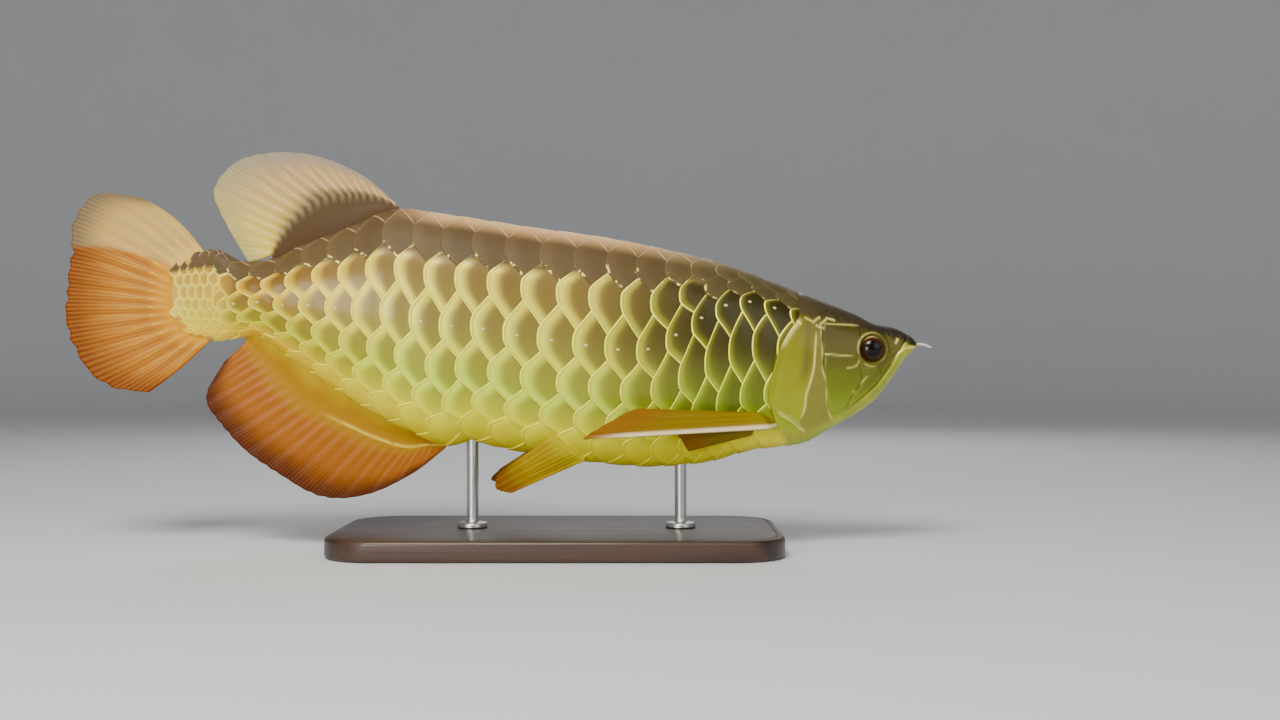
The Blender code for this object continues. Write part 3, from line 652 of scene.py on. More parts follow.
# Colours of the fish by depth, from its back at 0 to its keel at 1: the middles of the
# scales, the pale crescents behind them and the bright rims. The crescents are partly a
# painted highlight, and the rims' gold is raised near white as a painted glint.
MIDDLE_STOPS = (
    (0.0, (96, 76, 48)), (0.17, (90, 72, 38)), (0.22, (134, 108, 50)), (0.32, (150, 128, 58)),
    (0.46, (154, 141, 62)), (0.6, (174, 176, 46)), (0.74, (192, 212, 44)), (0.88, (238, 230, 16)),
    (1.0, (246, 228, 8)),
)
CRESCENT_STOPS = (
    (0.0, (108, 84, 54)), (0.185, (102, 80, 44)), (0.225, (246, 226, 76)), (0.45, (242, 232, 72)),
    (0.6, (234, 236, 62)), (0.75, (224, 248, 66)), (0.88, (250, 246, 22)), (1.0, (252, 238, 14)),
)
RIM_STOPS = (
    (0.0, (144, 114, 80)), (0.1, (114, 90, 58)), (0.18, (120, 94, 52)), (0.215, (255, 248, 92)),
    (0.5, (255, 252, 84)), (0.8, (255, 250, 62)), (1.0, (254, 244, 36)),
)


@dataclass(frozen=True)
class ScaleFinish:
    """Gold-rimmed scales, dark along the back, mint below and yellow on the belly."""

    name: str = "gilded_scale"
    roughness: float = 0.34
    rim_width: float = 1.25
    dark_edge: Pair = (0.185, 0.225)

    def material(self) -> Material:
        """The material, read from the scales' own attributes.

        Returns:
            The material.
        """
        kit = Finish(self.name, {"Coat Roughness": 0.16, "Specular IOR Level": 0.2})
        # Where a place lies: from its rim, down the flank and along the fish.
        rim, shaded, gilt = kit["rim"], kit["shade"], kit["gilt"]
        depth = shaded - (shaded - 0.17).most(0.0) * (1 - gilt)
        along, tone = kit["along"], kit["tone"]
        cloud, patch = kit.noise(130), kit.noise(75, 1)
        small = along.rise(0.885, 0.925)
        middle = kit.ramp(depth + (cloud - 0.5) * 0.03, MIDDLE_STOPS)
        crescent = kit.ramp(depth, CRESCENT_STOPS)
        edge = kit.ramp(depth + (patch - 0.5) * 0.09 * depth.rise(0.08, 0.14)
                        * depth.rise(0.26, 0.2), RIM_STOPS)
        gilded = depth.rise(*self.dark_edge)
        flank = gilded * depth.rise(0.93, 0.74)
        front, rear = along.rise(0.34, 0.06) * flank, along.rise(0.55, 0.85) * gilded
        # Each scale from its middle to the crescent behind it. The middle darkens towards the front as
        # painted shade under the rim of the scale ahead, and the pale crescent is partly a painted
        # highlight on the scale's rounded rear.
        middle = kit.mix(rim.rise(2.5, 13) * 0.5 * flank, middle, (112, 92, 42))
        inward = rim * (small * 1.5 + front * 0.7 + 1)
        body = kit.mix(inward.rise(10.5, 1.6) * 0.92, middle, crescent)
        top = kit["depth"]
        crown = top.rise(0.075, 0.0) * along.rise(0.0, 0.3) * along.rise(0.64, 0.54)
        body = kit.mix(crown * 0.85, body, (248, 196, 132))
        # Tints that change along the fish.
        body = kit.mix(front * 0.9, body, (162, 180, 112), "MULTIPLY")
        shade = front * depth.rise(0.62, 0.34)
        body = kit.mix(shade * 0.75, body, (136, 126, 104), "MULTIPLY")
        nape = along.rise(0.26, 0.0) * (1 - gilded)
        body = kit.mix(nape * 0.8, body, (224, 255, 255), "MULTIPLY")
        body = kit.mix(rear * 0.9, body, (238, 202, 72), "MULTIPLY")
        body = kit.mix(small * gilded * 0.3, body, (255, 214, 70))
        # The rim's line, whose gold is raised near white as a painted glint, gold flecks on the dark rows
        # and a tone for each scale.
        # A darker band just inside the bead of each rim: painted shade in the dip between the bead and
        # the domed middle.
        groove = rim.rise(self.rim_width * 2.3, self.rim_width * 1.2)
        body = kit.mix(groove * gilded * 0.3, body, (150, 140, 50))
        line = rim.rise(self.rim_width, self.rim_width * 0.7)
        # Pale arcs on the rims along the very top of the back: painted highlights.
        arc = top.rise(0.085, 0.05) * along.rise(0.04, 0.1)
        edge = kit.mix(arc * 0.6, edge, (236, 208, 168))
        colour = kit.mix(line * (gilded * 0.8 + arc * 0.35 + 0.2), body, edge)
        band = shaded.rise(0.15, 0.18) * shaded.rise(0.29, 0.25)
        spark = kit.noise(330, 1).rise(0.53, 0.6) * band * (1 - gilt * 0.6) * top.rise(0.07, 0.12)
        spark = spark * (1 - along.rise(0.14, 0.04) * 0.6)
        colour = kit.mix(spark * rim.rise(2.6, 1.5), colour, (255, 246, 140))
        colour = kit.mix((tone - 0.5) * 0.24 + 0.12, colour, (90, 76, 40), "SOFT_LIGHT")
        rings = ((rim * 5.2).wave() * 0.5 + 0.5) * rim.rise(1.6, 3.2)
        grain = kit.noise(1500, 2)
        kit.feed(Base_Color=colour,
                 Metallic=gilded * 0.22 + line * gilded * 0.12,
                 Roughness=self.roughness + grain * 0.12 + 0.16 - gilded * 0.16,
                 Coat_Weight=gilded * 0.22 + 0.02)
        kit.relief(rings * gilded * 0.3 + grain * 0.5, 0.0001, 0.6)
        return kit.material


@dataclass(frozen=True)
class SkinFinish:
    """The smooth skin of the head and the throat, whose colour changes over a band of height."""

    name: str = "head_skin"
    band: float = 0.1
    band_start: float = 0.6

    def material(self) -> Material:
        """The material, read from the skin's own attributes.

        Returns:
            The material.
        """
        kit = Finish(self.name, {"Coat Roughness": 0.14, "Specular IOR Level": 0.2,
                                 "Subsurface Weight": 0.06, "Subsurface Scale": 0.003})
        _, _, height = kit.axes()
        cloud, mottle = kit.noise(90), kit.noise(420, 4)
        level = height / self.band - self.band_start
        cheek = kit.ramp(level + (cloud - 0.5) * 0.1, (
            (0.0, (190, 194, 40)), (0.2, (140, 154, 26)), (0.34, (110, 121, 14)),
            (0.5, (88, 86, 12)), (0.66, (76, 68, 12)), (0.8, (68, 59, 14)),
            (1.0, (60, 51, 22)),
        ))
        cover = kit.ramp(level + (cloud - 0.5) * 0.16, (
            (0.1, (160, 174, 32)), (0.32, (148, 150, 14)), (0.6, (134, 130, 18)),
            (0.8, (106, 95, 22)),
        ))
        # One plate of the head after another.
        colour = kit.mix(kit["cover"], cheek, cover)
        for mark, tint in (("grey", (98, 84, 36)), ("limb", (132, 120, 50))):
            colour = kit.mix(kit[mark] * 0.7, colour, tint)
        colour = kit.mix(kit["jaw"], colour, kit.mix(
            cloud.rise(0.35, 0.65), (192, 194, 40), (162, 172, 36)))
        # Olive band above the mouth, the skin's own colour, with painted shade in the nostril pits, along
        # the mouth's slit and in the gap round the eye.
        colour = kit.mix(kit["olive_and_shade"] * 0.75, colour, (92, 86, 18))
        colour = kit.mix(kit["tail"], colour, (206, 166, 70))
        # The dark top, then gold lines, painted glints and highlights, and specks over all of it.
        dark = kit["dark"]
        top = kit.mix(mottle.rise(0.3, 0.7), (52, 43, 24), (70, 58, 34))
        top = kit.mix(kit["nape"] * 0.8, top, (86, 72, 46))
        colour = kit.mix(dark, colour, top)
        colour = kit.mix(kit["snout"] * 0.85, colour, (44, 36, 22))
        gold = kit["gold"]
        colour = kit.mix(gold, colour, (250, 236, 128))
        speck = mottle.rise(0.64, 0.78) * (1 - dark)
        colour = kit.mix(speck * 0.2, colour, (226, 214, 120))
        kit.feed(Base_Color=colour,
                 Metallic=gold * 0.15 + kit["cover"] * 0.16 + 0.08,
                 Roughness=0.36 + mottle * 0.14 + dark * 0.12 - gold * 0.08,
                 Coat_Weight=0.24 - dark * 0.2)
        kit.relief(mottle * 0.6 + kit.noise(1400, 2) * 0.4, 0.0002, 0.5)
        return kit.material


class FinColour(Enum):
    """Ways in which a fin is coloured."""

    DORSAL = "dorsal"
    TAIL = "tail"
    ORANGE = "orange"
    PECTORAL = "pectoral"


@dataclass(frozen=True)
class FinFinish:
    """A fin's membrane and rays, coloured from the body outwards to the margin."""

    name: str
    style: FinColour
    sheath: Colour
    base: Colour
    blade: Colour
    margin: Colour
    ray: Colour
    lines: int = 80
    ray_part: bool = False

    def material(self) -> Material:
        """The material, read from the fin's own attributes.

        Returns:
            The material.
        """
        kit = Finish(self.name, {"Coat Roughness": 0.2, "Specular IOR Level": 0.1})
        out, along = kit["fin_v"], kit["fin_u"]
        mist = kit.noise(70)
        place = out + (mist - 0.5) * 0.14
        colour = kit.mix(place.rise(0.0, 0.17), self.sheath, self.base)
        colour = kit.mix(place.rise(0.24, 0.45), colour, self.blade)
        colour = kit.mix(place.rise(0.6, 0.98), colour, self.margin)
        if self.style is FinColour.TAIL:
            pale = kit.mix(out.rise(0.72, 0.99), (180, 148, 84), (100, 86, 68))
            pale = kit.mix(out.rise(0.4, 0.2), pale, (220, 176, 84))
            border = along - out * 0.15 - 0.205 + (mist - 0.5) * 0.02
            colour = kit.mix(border.rise(0.016, -0.016), colour, pale)
        if self.style is FinColour.DORSAL:
            warm = kit.mix(out.rise(0.35, 0.85), (222, 190, 30), (184, 168, 80))
            colour = kit.mix(along.rise(0.5, 0.98) * out.rise(0.22, 0.34) * 0.85, colour, warm)
        # Rays and fine lines between them, then the scaly hem and the leading edge.
        streak = kit["crest"] * out.rise(0.18, 0.27) * out.rise(1.0, 0.42)
        fine = ((along * (self.lines * 2 * math.pi)).wave() * 0.5 + 0.5) * out.rise(0.26, 0.5)
        share = streak * 0.85 if self.ray_part else streak * 0.18 + fine * 0.14
        colour = kit.mix(share, colour, self.ray)
        colour = kit.mix(kit["hem"] * 0.7, colour, (240, 220, 70))
        colour = kit.mix(kit["lead"], colour, (230, 206, 156))
        joints = ((out * 300).wave() * 0.5 + 0.5) * out.rise(0.3, 0.4)
        kit.feed(Base_Color=colour, Roughness=0.42 + mist * 0.16,
                 Coat_Weight=streak * 0.12 + out.rise(0.1, 0.3) * 0.03)
        kit.relief(joints * 0.25 + kit.noise(900) * 0.6, 0.0001, 0.5)
        return kit.material


@dataclass(frozen=True)
class EyeFinish:
    """A glossy dark brown eye with a thin gold arc behind."""

    name: str = "wet_eye"

    def material(self) -> Material:
        """The material.

        Returns:
            The material.
        """
        kit = Finish(self.name, {"Coat Weight": 0.35, "Coat Roughness": 0.05, "Roughness": 0.25,
                                 "Specular IOR Level": 0.1})
        away, angle = kit["away"], kit["angle"]
        fibre = kit.noise(900, 3)
        iris = kit.mix(away.rise(0.55, 0.95), (34, 17, 8), (58, 32, 14))
        iris = kit.mix(fibre.rise(0.45, 0.7) * 0.3, iris, (98, 60, 26))
        colour = kit.mix(away.rise(0.62, 0.55), iris, (5, 4, 3))
        behind = (angle - 0.75).wave().rise(0.1, 0.9)
        outer = away.rise(0.87, 0.92) * (behind * 0.8 + 0.05)
        colour = kit.mix(outer, colour, (222, 196, 104))
        kit.feed(Base_Color=colour)
        return kit.material


@dataclass(frozen=True)
class BarbelFinish:
    """Pale, smooth barbels."""

    name: str = "barbel_skin"

    def material(self) -> Material:
        """The material.

        Returns:
            The material.
        """
        kit = Finish(self.name, {"Coat Weight": 0.3, "Subsurface Weight": 0.2,
                                 "Subsurface Scale": 0.001})
        out = kit["fin_v"]
        colour = kit.mix(out.rise(0.0, 0.5), (168, 160, 100), (222, 220, 206))
        kit.feed(Base_Color=colour, Roughness=0.35 + kit.noise(800) * 0.1)
        kit.relief(kit.noise(1600), 0.0001, 0.5)
        return kit.material


@dataclass(frozen=True)
class WoodFinish:
    """Dark stained wood with a satin lacquer."""

    name: str = "dark_wood"

    def material(self) -> Material:
        """The material.

        Returns:
            The material.
        """
        kit = Finish(self.name, {"Coat Weight": 0.35, "Coat Roughness": 0.18})
        broad = kit.noise(14, 3, (0.35, 3.2, 3.2))
        fine = kit.noise(160, 4, (0.06, 3.0, 3.0))
        _, across, _ = kit.axes()
        bands = ((across * 320 + broad * 9).wave() * 0.5 + 0.5)
        colour = kit.mix(bands, (38, 22, 13), (66, 40, 22))
        colour = kit.mix(fine.rise(0.52, 0.72) * 0.6, colour, (24, 14, 9))
        kit.feed(Base_Color=colour, Roughness=0.42 + fine * 0.18)
        kit.relief(fine * 0.6 + bands * 0.2, 0.00012, 0.5)
        return kit.material


@dataclass(frozen=True)
class SteelFinish:
    """Brushed steel rods."""

    name: str = "brushed_steel"

    def material(self) -> Material:
        """The material.

        Returns:
            The material.
        """
        kit = Finish(self.name, {"Metallic": 1.0})
        brush = kit.noise(700, 2, (0.25, 0.25, 6.0))
        smudge = kit.noise(60)
        colour = kit.mix(smudge, (176, 176, 174), (200, 199, 195))
        kit.feed(Base_Color=colour, Roughness=0.24 + brush * 0.16 + smudge * 0.05)
        kit.relief(brush, 0.00004, 0.6)
        return kit.material


@dataclass(frozen=True)
class StageFinish:
    """A plain matt backdrop."""

    name: str = "pale_paper"
    tone: Colour = (222, 223, 224)

    def material(self) -> Material:
        """The material.

        Returns:
            The material.
        """
        kit = Finish(self.name, {"Roughness": 0.9})
        kit.feed(Base_Color=kit.mix(kit.noise(6) * 0.06, self.tone, (190, 190, 188)))
        return kit.material


@dataclass
class Piece:
    """A mesh under construction: joined grids of vertices, with a number or two on each."""

    name: str
    verts: list[Array] = field(default_factory=list)
    faces: list[Array] = field(default_factory=list)
    maps: list[Array] = field(default_factory=list)
    marks: dict[str, list[Array]] = field(default_factory=dict)
    count: int = 0

    def add(self, verts: Array, faces: Array, uv: Array, **marks: Array) -> None:
        """Add a patch.

        Args:
            verts: (n, 3) places in millimetres.
            faces: (m, 3) or (m, 4) vertex numbers within the patch.
            uv: (n, 2) places on the bake map.
            marks: (n,) numbers by attribute name.
        """
        self.verts.append(verts)
        self.faces.append(faces + self.count)
        self.maps.append(uv)
        for key, values in marks.items():
            self.marks.setdefault(key, []).append(np.broadcast_to(values, (len(verts),)))
        self.count += len(verts)

    def make(self, material: Material) -> Object:
        """Turn the patches into one object.

        Args:
            material: its finish.

        Returns:
            The object, linked to the scene.
        """
        mesh = bpy.data.meshes.new(self.name)
        verts = np.vstack(self.verts) * MM
        sizes = np.concatenate([np.full(len(f), f.shape[1]) for f in self.faces])
        corners = np.concatenate([f.ravel() for f in self.faces])
        starts = np.concatenate([[0], np.cumsum(sizes)[:-1]])
        mesh.vertices.add(len(verts))
        mesh.vertices.foreach_set("co", verts.astype(np.float32).ravel())
        mesh.loops.add(len(corners))
        mesh.loops.foreach_set("vertex_index", corners.astype(np.int32))
        mesh.polygons.add(len(sizes))
        mesh.polygons.foreach_set("loop_start", starts.astype(np.int32))
        mesh.polygons.foreach_set("use_smooth", np.ones(len(sizes), bool))
        mesh.update(calc_edges=True)
        write_map(mesh, np.vstack(self.maps))
        for key, parts in self.marks.items():
            store_mark(mesh, key, np.concatenate(parts))
        mesh.validate()
        mesh.materials.append(material)
        return link_object(self.name, mesh)


def link_object(name: str, data: bpy.types.ID) -> Object:
    """An object in the scene.

    Args:
        name: its name.
        data: its mesh, light or camera.

    Returns:
        The object.
    """
    obj = bpy.data.objects.new(name, data)
    bpy.context.scene.collection.objects.link(obj)
    return obj


def store_mark(mesh: Mesh, key: str, values: Array) -> None:
    """Store numbers or directions on a mesh's points.

    Args:
        mesh: the mesh.
        key: the attribute's name.
        values: (n,) numbers or (n, 3) directions.
    """
    kind, part = ("FLOAT", "value") if values.ndim == 1 else ("FLOAT_VECTOR", "vector")
    layer = mesh.attributes.new(key, kind, "POINT")
    layer.data.foreach_set(part, values.astype(np.float32).ravel())


def read_mark(mesh: Mesh, key: str) -> Array:
    """The numbers stored on a mesh's points.

    Args:
        mesh: the mesh.
        key: the attribute's name.

    Returns:
        (n,) numbers.
    """
    values = np.zeros(len(mesh.vertices), np.float32)
    mesh.attributes[key].data.foreach_get("value", values)
    return values


def ring_piece(name: str, rings: Sequence[Array], material: Material, lid: bool = True) -> Object:
    """A piece through rings of places, each joined to the next, with a floor and a lid.

    Args:
        name: its name.
        rings: (n, 3) places in metres, one array for each ring.
        material: its finish.
        lid: whether the last ring is closed too, which turns all faces outwards.

    Returns:
        The object.
    """
    bm = bmesh.new()
    made = [[bm.verts.new(place) for place in ring] for ring in rings]
    for low, high in zip(made, made[1:]):
        for i in range(len(low)):
            j = (i + 1) % len(low)
            bm.faces.new((low[i], high[i], high[j], low[j]))
    bm.faces.new(made[0])
    if lid:
        bm.faces.new(made[-1][::-1])
        bmesh.ops.recalc_face_normals(bm, faces=bm.faces)
    mesh = bpy.data.meshes.new(name)
    bm.to_mesh(mesh)
    bm.free()
    mesh.shade_smooth()
    mesh.materials.append(material)
    return link_object(name, mesh)


def round_ring(radius: float, z: float, sides: int, x: float = 0.0) -> Array:
    """Places round an upright axis.

    Args:
        radius: distance from the axis.
        z: height.
        sides: how many places.
        x: where the axis stands.

    Returns:
        (n, 3) places.
    """
    angle = 2 * math.pi * np.arange(sides) / sides
    return np.stack([x + radius * np.cos(angle), radius * np.sin(angle), np.full(sides, z)], 1)


def write_map(mesh: Mesh, uv: Array) -> None:
    """Write the bake map, unfolding faces that cross the end of a closed strip.

    Args:
        mesh: the mesh.
        uv: (n, 2) places, one for each vertex, within 0 to 1.
    """
    corners = np.zeros(len(mesh.loops), np.int32)
    mesh.loops.foreach_get("vertex_index", corners)
    places = uv[corners].copy()
    starts = np.zeros(len(mesh.polygons), np.int32)
    mesh.polygons.foreach_get("loop_start", starts)
    highest = np.maximum.reduceat(places[:, 1], starts)
    sizes = np.diff(np.append(starts, len(corners)))
    wraps = np.repeat(highest, sizes) - places[:, 1] > 0.5
    places[wraps, 1] += 1
    layer = mesh.uv_layers.new(name=BAKE_MAP)
    layer.data.foreach_set("uv", places.astype(np.float32).ravel())


def grid_faces(rows: int, columns: int, closed: bool = False, flip: bool = False) -> Array:
    """Quads of a grid of rows * columns vertices.

    Args:
        rows: number of rows.
        columns: number of columns.
        closed: whether the last column joins the first.
        flip: whether the faces look the other way.

    Returns:
        (m, 4) vertex numbers.
    """
    i, j = np.meshgrid(np.arange(rows - 1), np.arange(columns if closed else columns - 1),
                       indexing="ij")
    k = (j + 1) % columns
    quads = np.stack([i * columns + j, i * columns + k, (i + 1) * columns + k,
                      (i + 1) * columns + j], -1).reshape(-1, 4)
    return quads[:, ::-1] if flip else quads


def register(obj: Object, slot: str, *replaced: str) -> None:
    """Hand a finished piece over to the frame.

    Args:
        obj: the piece.
        slot: the record's material slot; not used.
        replaced: the nodes that it stands for.
    """
    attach(obj, BODY)
    if replaced:
        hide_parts(*replaced)
    mesh = obj.data
    mesh.calc_loop_triangles()
    log.info("%s: %d triangles", obj.name, len(mesh.loop_triangles))


class GrowTree(NodeTree):
    """A Geometry Nodes tree with named inputs, which ends in plain, smooth, dressed meshes."""

    def __init__(self, name: str, inputs: dict[str, str]) -> None:
        """Start a tree.

        Args:
            name: its name.
            inputs: socket types by input name, beside its points and its material.
        """
        super().__init__(bpy.data.node_groups.new(name, "GeometryNodeTree"))
        face = self.tree.interface
        for key, kind in {"Geometry": "Geometry", **inputs, "Material": "Material"}.items():
            face.new_socket(key, in_out="INPUT", socket_type="NodeSocket" + kind)
        face.new_socket("Geometry", in_out="OUTPUT", socket_type="NodeSocketGeometry")
        self.inputs = self.node("NodeGroupInput").outputs

    def close(self, shape: Node) -> None:
        """End the tree.

        Args:
            shape: the node that makes the shapes.
        """
        real = self.node("GeometryNodeRealizeInstances", None, {0: shape.outputs[0]})
        soft = self.node("GeometryNodeSetShadeSmooth", None, {0: real.outputs[0]})
        dressed = self.node("GeometryNodeSetMaterial", None,
                            {0: soft.outputs[0], "Material": self.inputs["Material"]})
        self.node("NodeGroupOutput", None, {0: dressed.outputs[0]})

    def grow(self, name: str, points: Array, edges: Array, marks: dict[str, Array],
             values: dict[str, object]) -> Object:
        """Run the tree over points and keep what comes out as a plain mesh.

        Args:
            name: the piece's name.
            points: (n, 3) places in mm.
            edges: (m, 2) point numbers, none where the points stand alone.
            marks: numbers or directions on the points by attribute name.
            values: what goes in, by input name.

        Returns:
            The object.
        """
        mesh = bpy.data.meshes.new(name + "_points")
        mesh.vertices.add(len(points))
        mesh.vertices.foreach_set("co", (points * MM).astype(np.float32).ravel())
        if len(edges):
            mesh.edges.add(len(edges))
            mesh.edges.foreach_set("vertices", edges.astype(np.int32).ravel())
        for key, numbers in marks.items():
            store_mark(mesh, key, numbers)
        obj = link_object(name, mesh)
        modifier = obj.modifiers.new("grow", "NODES")
        modifier.node_group = self.tree
        for item in self.tree.interface.items_tree:
            if item.in_out == "INPUT" and item.name in values:
                modifier[item.identifier] = values[item.name]
        bpy.context.view_layer.update()
        graph = bpy.context.evaluated_depsgraph_get()
        obj.data = bpy.data.meshes.new_from_object(obj.evaluated_get(graph), depsgraph=graph)
        obj.modifiers.clear()
        bpy.data.meshes.remove(mesh)
        obj.data.name = name
        return obj


class Sweeper(GrowTree):
    """Tubes along the edges of a mesh."""

    def __init__(self) -> None:
        """Build the tree once."""
        super().__init__("tube_sweep", {"Sides": "Int", "Thickness": "Float", "Flatness": "Float"})
        inputs = self.inputs
        path = self.node("GeometryNodeMeshToCurve", None, {0: inputs["Geometry"]})
        size = self.node("GeometryNodeInputNamedAttribute", None, {"Name": "thick"})
        scale = self.node("ShaderNodeMath", {"operation": "MULTIPLY"},
                          {0: size.outputs[0], 1: inputs["Thickness"]})
        ring = self.node("GeometryNodeCurvePrimitiveCircle", None,
                         {"Resolution": inputs["Sides"], "Radius": 1.0})
        around = self.node("GeometryNodeSplineParameter")
        stored = self.node("GeometryNodeStoreNamedAttribute", {"domain": "POINT"},
                           {0: ring.outputs[0], "Name": "around", "Value": around.outputs[0]})
        shape = self.node("ShaderNodeCombineXYZ", None, {0: 1.0, 1: inputs["Flatness"], 2: 1.0})
        oval = self.node("GeometryNodeTransform", None, {0: stored.outputs[0], 3: shape.outputs[0]})
        self.close(self.node("GeometryNodeCurveToMesh", None, {
            0: path.outputs[0], 1: oval.outputs[0], 2: scale.outputs[0], 3: True}))

    def sweep(self, name: str, strands: Sequence["Strand"], sides: int, material: Material) -> Object:
        """Sweep a set of strands into one plain mesh.

        Args:
            name: the piece's name.
            strands: the paths with their thicknesses.
            sides: sides of each tube.
            material: its finish.

        Returns:
            The object, with its bake map.
        """
        edges, start = [], 0
        for strand in strands:
            count = len(strand.path)
            edges.append(np.stack([np.arange(count - 1), np.arange(1, count)], 1) + start)
            start += count
        marks = {"thick": [s.radius * MM for s in strands], "fin_u": [s.u for s in strands],
                 "fin_v": [s.v for s in strands],
                 "strand": [np.full(len(s.path), i / len(strands)) for i, s in enumerate(strands)]}
        obj = self.grow(name, np.vstack([s.path for s in strands]), np.vstack(edges),
                        {key: np.concatenate(parts) for key, parts in marks.items()},
                        {"Sides": sides, "Thickness": 1.0, "Flatness": 1.0, "Material": material})
        self._map_tubes(obj.data, len(strands))
        return obj

    @staticmethod
    def _map_tubes(mesh: Mesh, strands: int) -> None:
        """Give each tube a strip of the bake map.

        Args:
            mesh: the swept mesh.
            strands: how many strips there are.
        """
        around, out, strand = (read_mark(mesh, key) for key in ("around", "fin_v", "strand"))
        strip = strand + (0.06 + 0.88 * np.abs(2 * around - 1)) / strands
        for layer in list(mesh.uv_layers):
            mesh.uv_layers.remove(layer)
        write_map(mesh, np.stack([strip, out * 0.49], 1))
        store_mark(mesh, "crest", np.ones(len(mesh.vertices)))


@dataclass
class Strand:
    """One ray, branch or barbel: its path, its thickness and its place on the fin."""

    path: Array
    radius: Array
    u: Array
    v: Array


@dataclass
class Skin:
    """The one skin of the head, the trunk and the tail stalk, with its bony plates."""

    sides: int = 256
    rear_x: float = -196.0
    head_x: float = 150.0
    snout_x: float = 246.8
    trunk_step: float = 4.0
    head_step: float = 0.45
    under_scales: float = 0.35
    rear_bone: Knots = ((187.5, 136), (185.6, 128), (184.7, 116.7), (184, 106.6), (181.9, 98),
                        (179.7, 90.9), (179, 83.7), (176.5, 76.5))
    front_bone: Knots = ((189.4, 136), (188.3, 128.8), (189, 116.7), (189, 106.6), (191.2, 98),
                         (191.9, 88), (193.4, 80.8), (196, 76.5))
    plates: Sequence[tuple[Knots, float]] = (
        (((190.4, 131.6), (202, 131.4), (210.6, 129.4), (211.6, 124), (211.4, 116), (209.6, 113.4),
          (200, 114.2), (190.8, 115)), 0.6),
        (((191, 113.4), (206, 112.6), (210.4, 108.8), (212.4, 100), (208, 92.4), (203.6, 84.6),
          (198, 80.4), (194.6, 82.6), (192.8, 92), (190.6, 104)), 0.5),
        (((211.8, 106), (220, 106.6), (224.6, 103.4), (219.6, 95.8), (213.2, 89.6), (206.6, 83.6),
          (205.8, 86.4), (210.4, 93.2), (213.4, 99)), 0.4),
    )
    dark_line: Knots = ((150, 142), (170, 139), (190, 134.5), (205, 131.6), (214, 129), (224, 126.4),
                        (232, 124.6), (241, 121.2), (248, 118.6))
    lip_fold: Knots = ((247.2, 119.2), (243, 118.6), (239.4, 118), (236, 116.2), (233.4, 113.4),
                       (230.6, 109.6), (227.4, 104.6))
    nostrils: Knots = ((235.2, 124.2), (229.8, 125.4))
    # Painted glint on the nostril.
    nostril_glint: Knots = ((233.2, 120.8), (234.0, 122.4), (234.6, 123.6))
    nape_flecks: Sequence[Knots] = (
        ((173.4, 134.2), (176.2, 131.4)), ((179.2, 134.8), (182.6, 132.9)),
        ((183.4, 132.2), (187.8, 135.4)), ((188.2, 131.2), (191.6, 134.2)),
        ((192.2, 135), (196.6, 133.8)), ((185.6, 130.4), (189.6, 129.2)),
    )
    snout_notch: Knots = ((240.2, 128), (240.9, 124.6), (241.4, 121.6))
    cheek_crease: Knots = ((210.8, 110.4), (208.6, 107.6), (203.6, 106.4))
    cheek_fleck: Knots = ((212, 97.3), (213.8, 99.6), (215.5, 101.6))

    def stations(self) -> Array:
        """Stations along the fish, close together over the head.

        Returns:
            The stations.
        """
        trunk = np.arange(self.rear_x, self.head_x, self.trunk_step)
        head = np.linspace(self.head_x, self.snout_x,
                           int((self.snout_x - self.head_x) / self.head_step))
        return np.concatenate([trunk, head])

    def relief(self, x: Array, z: Array, turn: Array) -> tuple[Array, dict[str, Array]]:
        """How far the skin stands proud, and what colours it.

        Args:
            x: stations in mm.
            z: heights in mm.
            turn: how far round the body.

        Returns:
            The heights in mm, and numbers 0 to 1 by attribute name.
        """
        places = np.stack([x, z], 1)
        zone = head_zone(x, z)
        depth = FISH.depth_share(x, z)
        top = smooth(0.2, 0.08, depth)
        in_head = smooth(-0.15, 0.45, zone) * (1 - top) + smooth(-3.5, 2.5, zone) * top
        rear_line, front_line = smooth_line(self.rear_bone), smooth_line(self.front_bone)
        rear, rear_share = line_distance(places, rear_line)
        front, front_share = line_distance(places, front_line)
        rear_x = np.interp(z, rear_line[::-1, 1], rear_line[::-1, 0])
        front_x = np.interp(z, front_line[::-1, 1], front_line[::-1, 0])
        side = smooth(0.1, 0.2, depth) * smooth(0.97, 0.9, depth)

        # The gill cover, its bones and the plates of the cheek.
        proud = in_head * (0.55 + side * (0.45 + 0.95 * smooth(24, 2, zone)))
        behind_rear = smooth(0.4, -0.5, x - rear_x)
        proud -= side * in_head * 0.45 * (1 - behind_rear)
        limb = smooth(-0.5, 0.5, x - rear_x) * smooth(0.5, -0.5, x - front_x)
        proud += side * 0.3 * limb
        proud += side * 0.42 * bell(rear, 0, 0.6) * smooth(0.0, 0.12, rear_share)
        proud += side * 0.3 * bell(front, 0, 0.5) * smooth(0.0, 0.1, front_share)
        proud += side * 0.25 * bell(zone, 0.7, 0.7)
        proud -= side * 0.3 * bell(zone, 3.4, 1.6)
        groove = np.zeros(len(x))
        for outline, height in self.plates:
            gap = outline_distance(places, smooth_line(tuple(outline) + (outline[0],), 50)[:-1])
            proud += side * height * smooth(0.3, -0.4, gap)
            proud += side * 0.12 * bell(gap, -0.6, 0.4)
            groove = np.maximum(groove, bell(gap, 0.35, 0.4))
        proud -= side * 0.25 * groove

        # The eye's socket with a rim round it.
        eye_x, eye_z = EYE_CENTRE
        away = np.hypot(x - eye_x, z - eye_z)
        spin = np.arctan2(z - eye_z, x - eye_x)
        proud += 0.5 * bell(away, 9.0, 0.75)
        socket = smooth(8.1, 7.3, away)
        proud = proud * (1 - socket) - 3.2 * socket

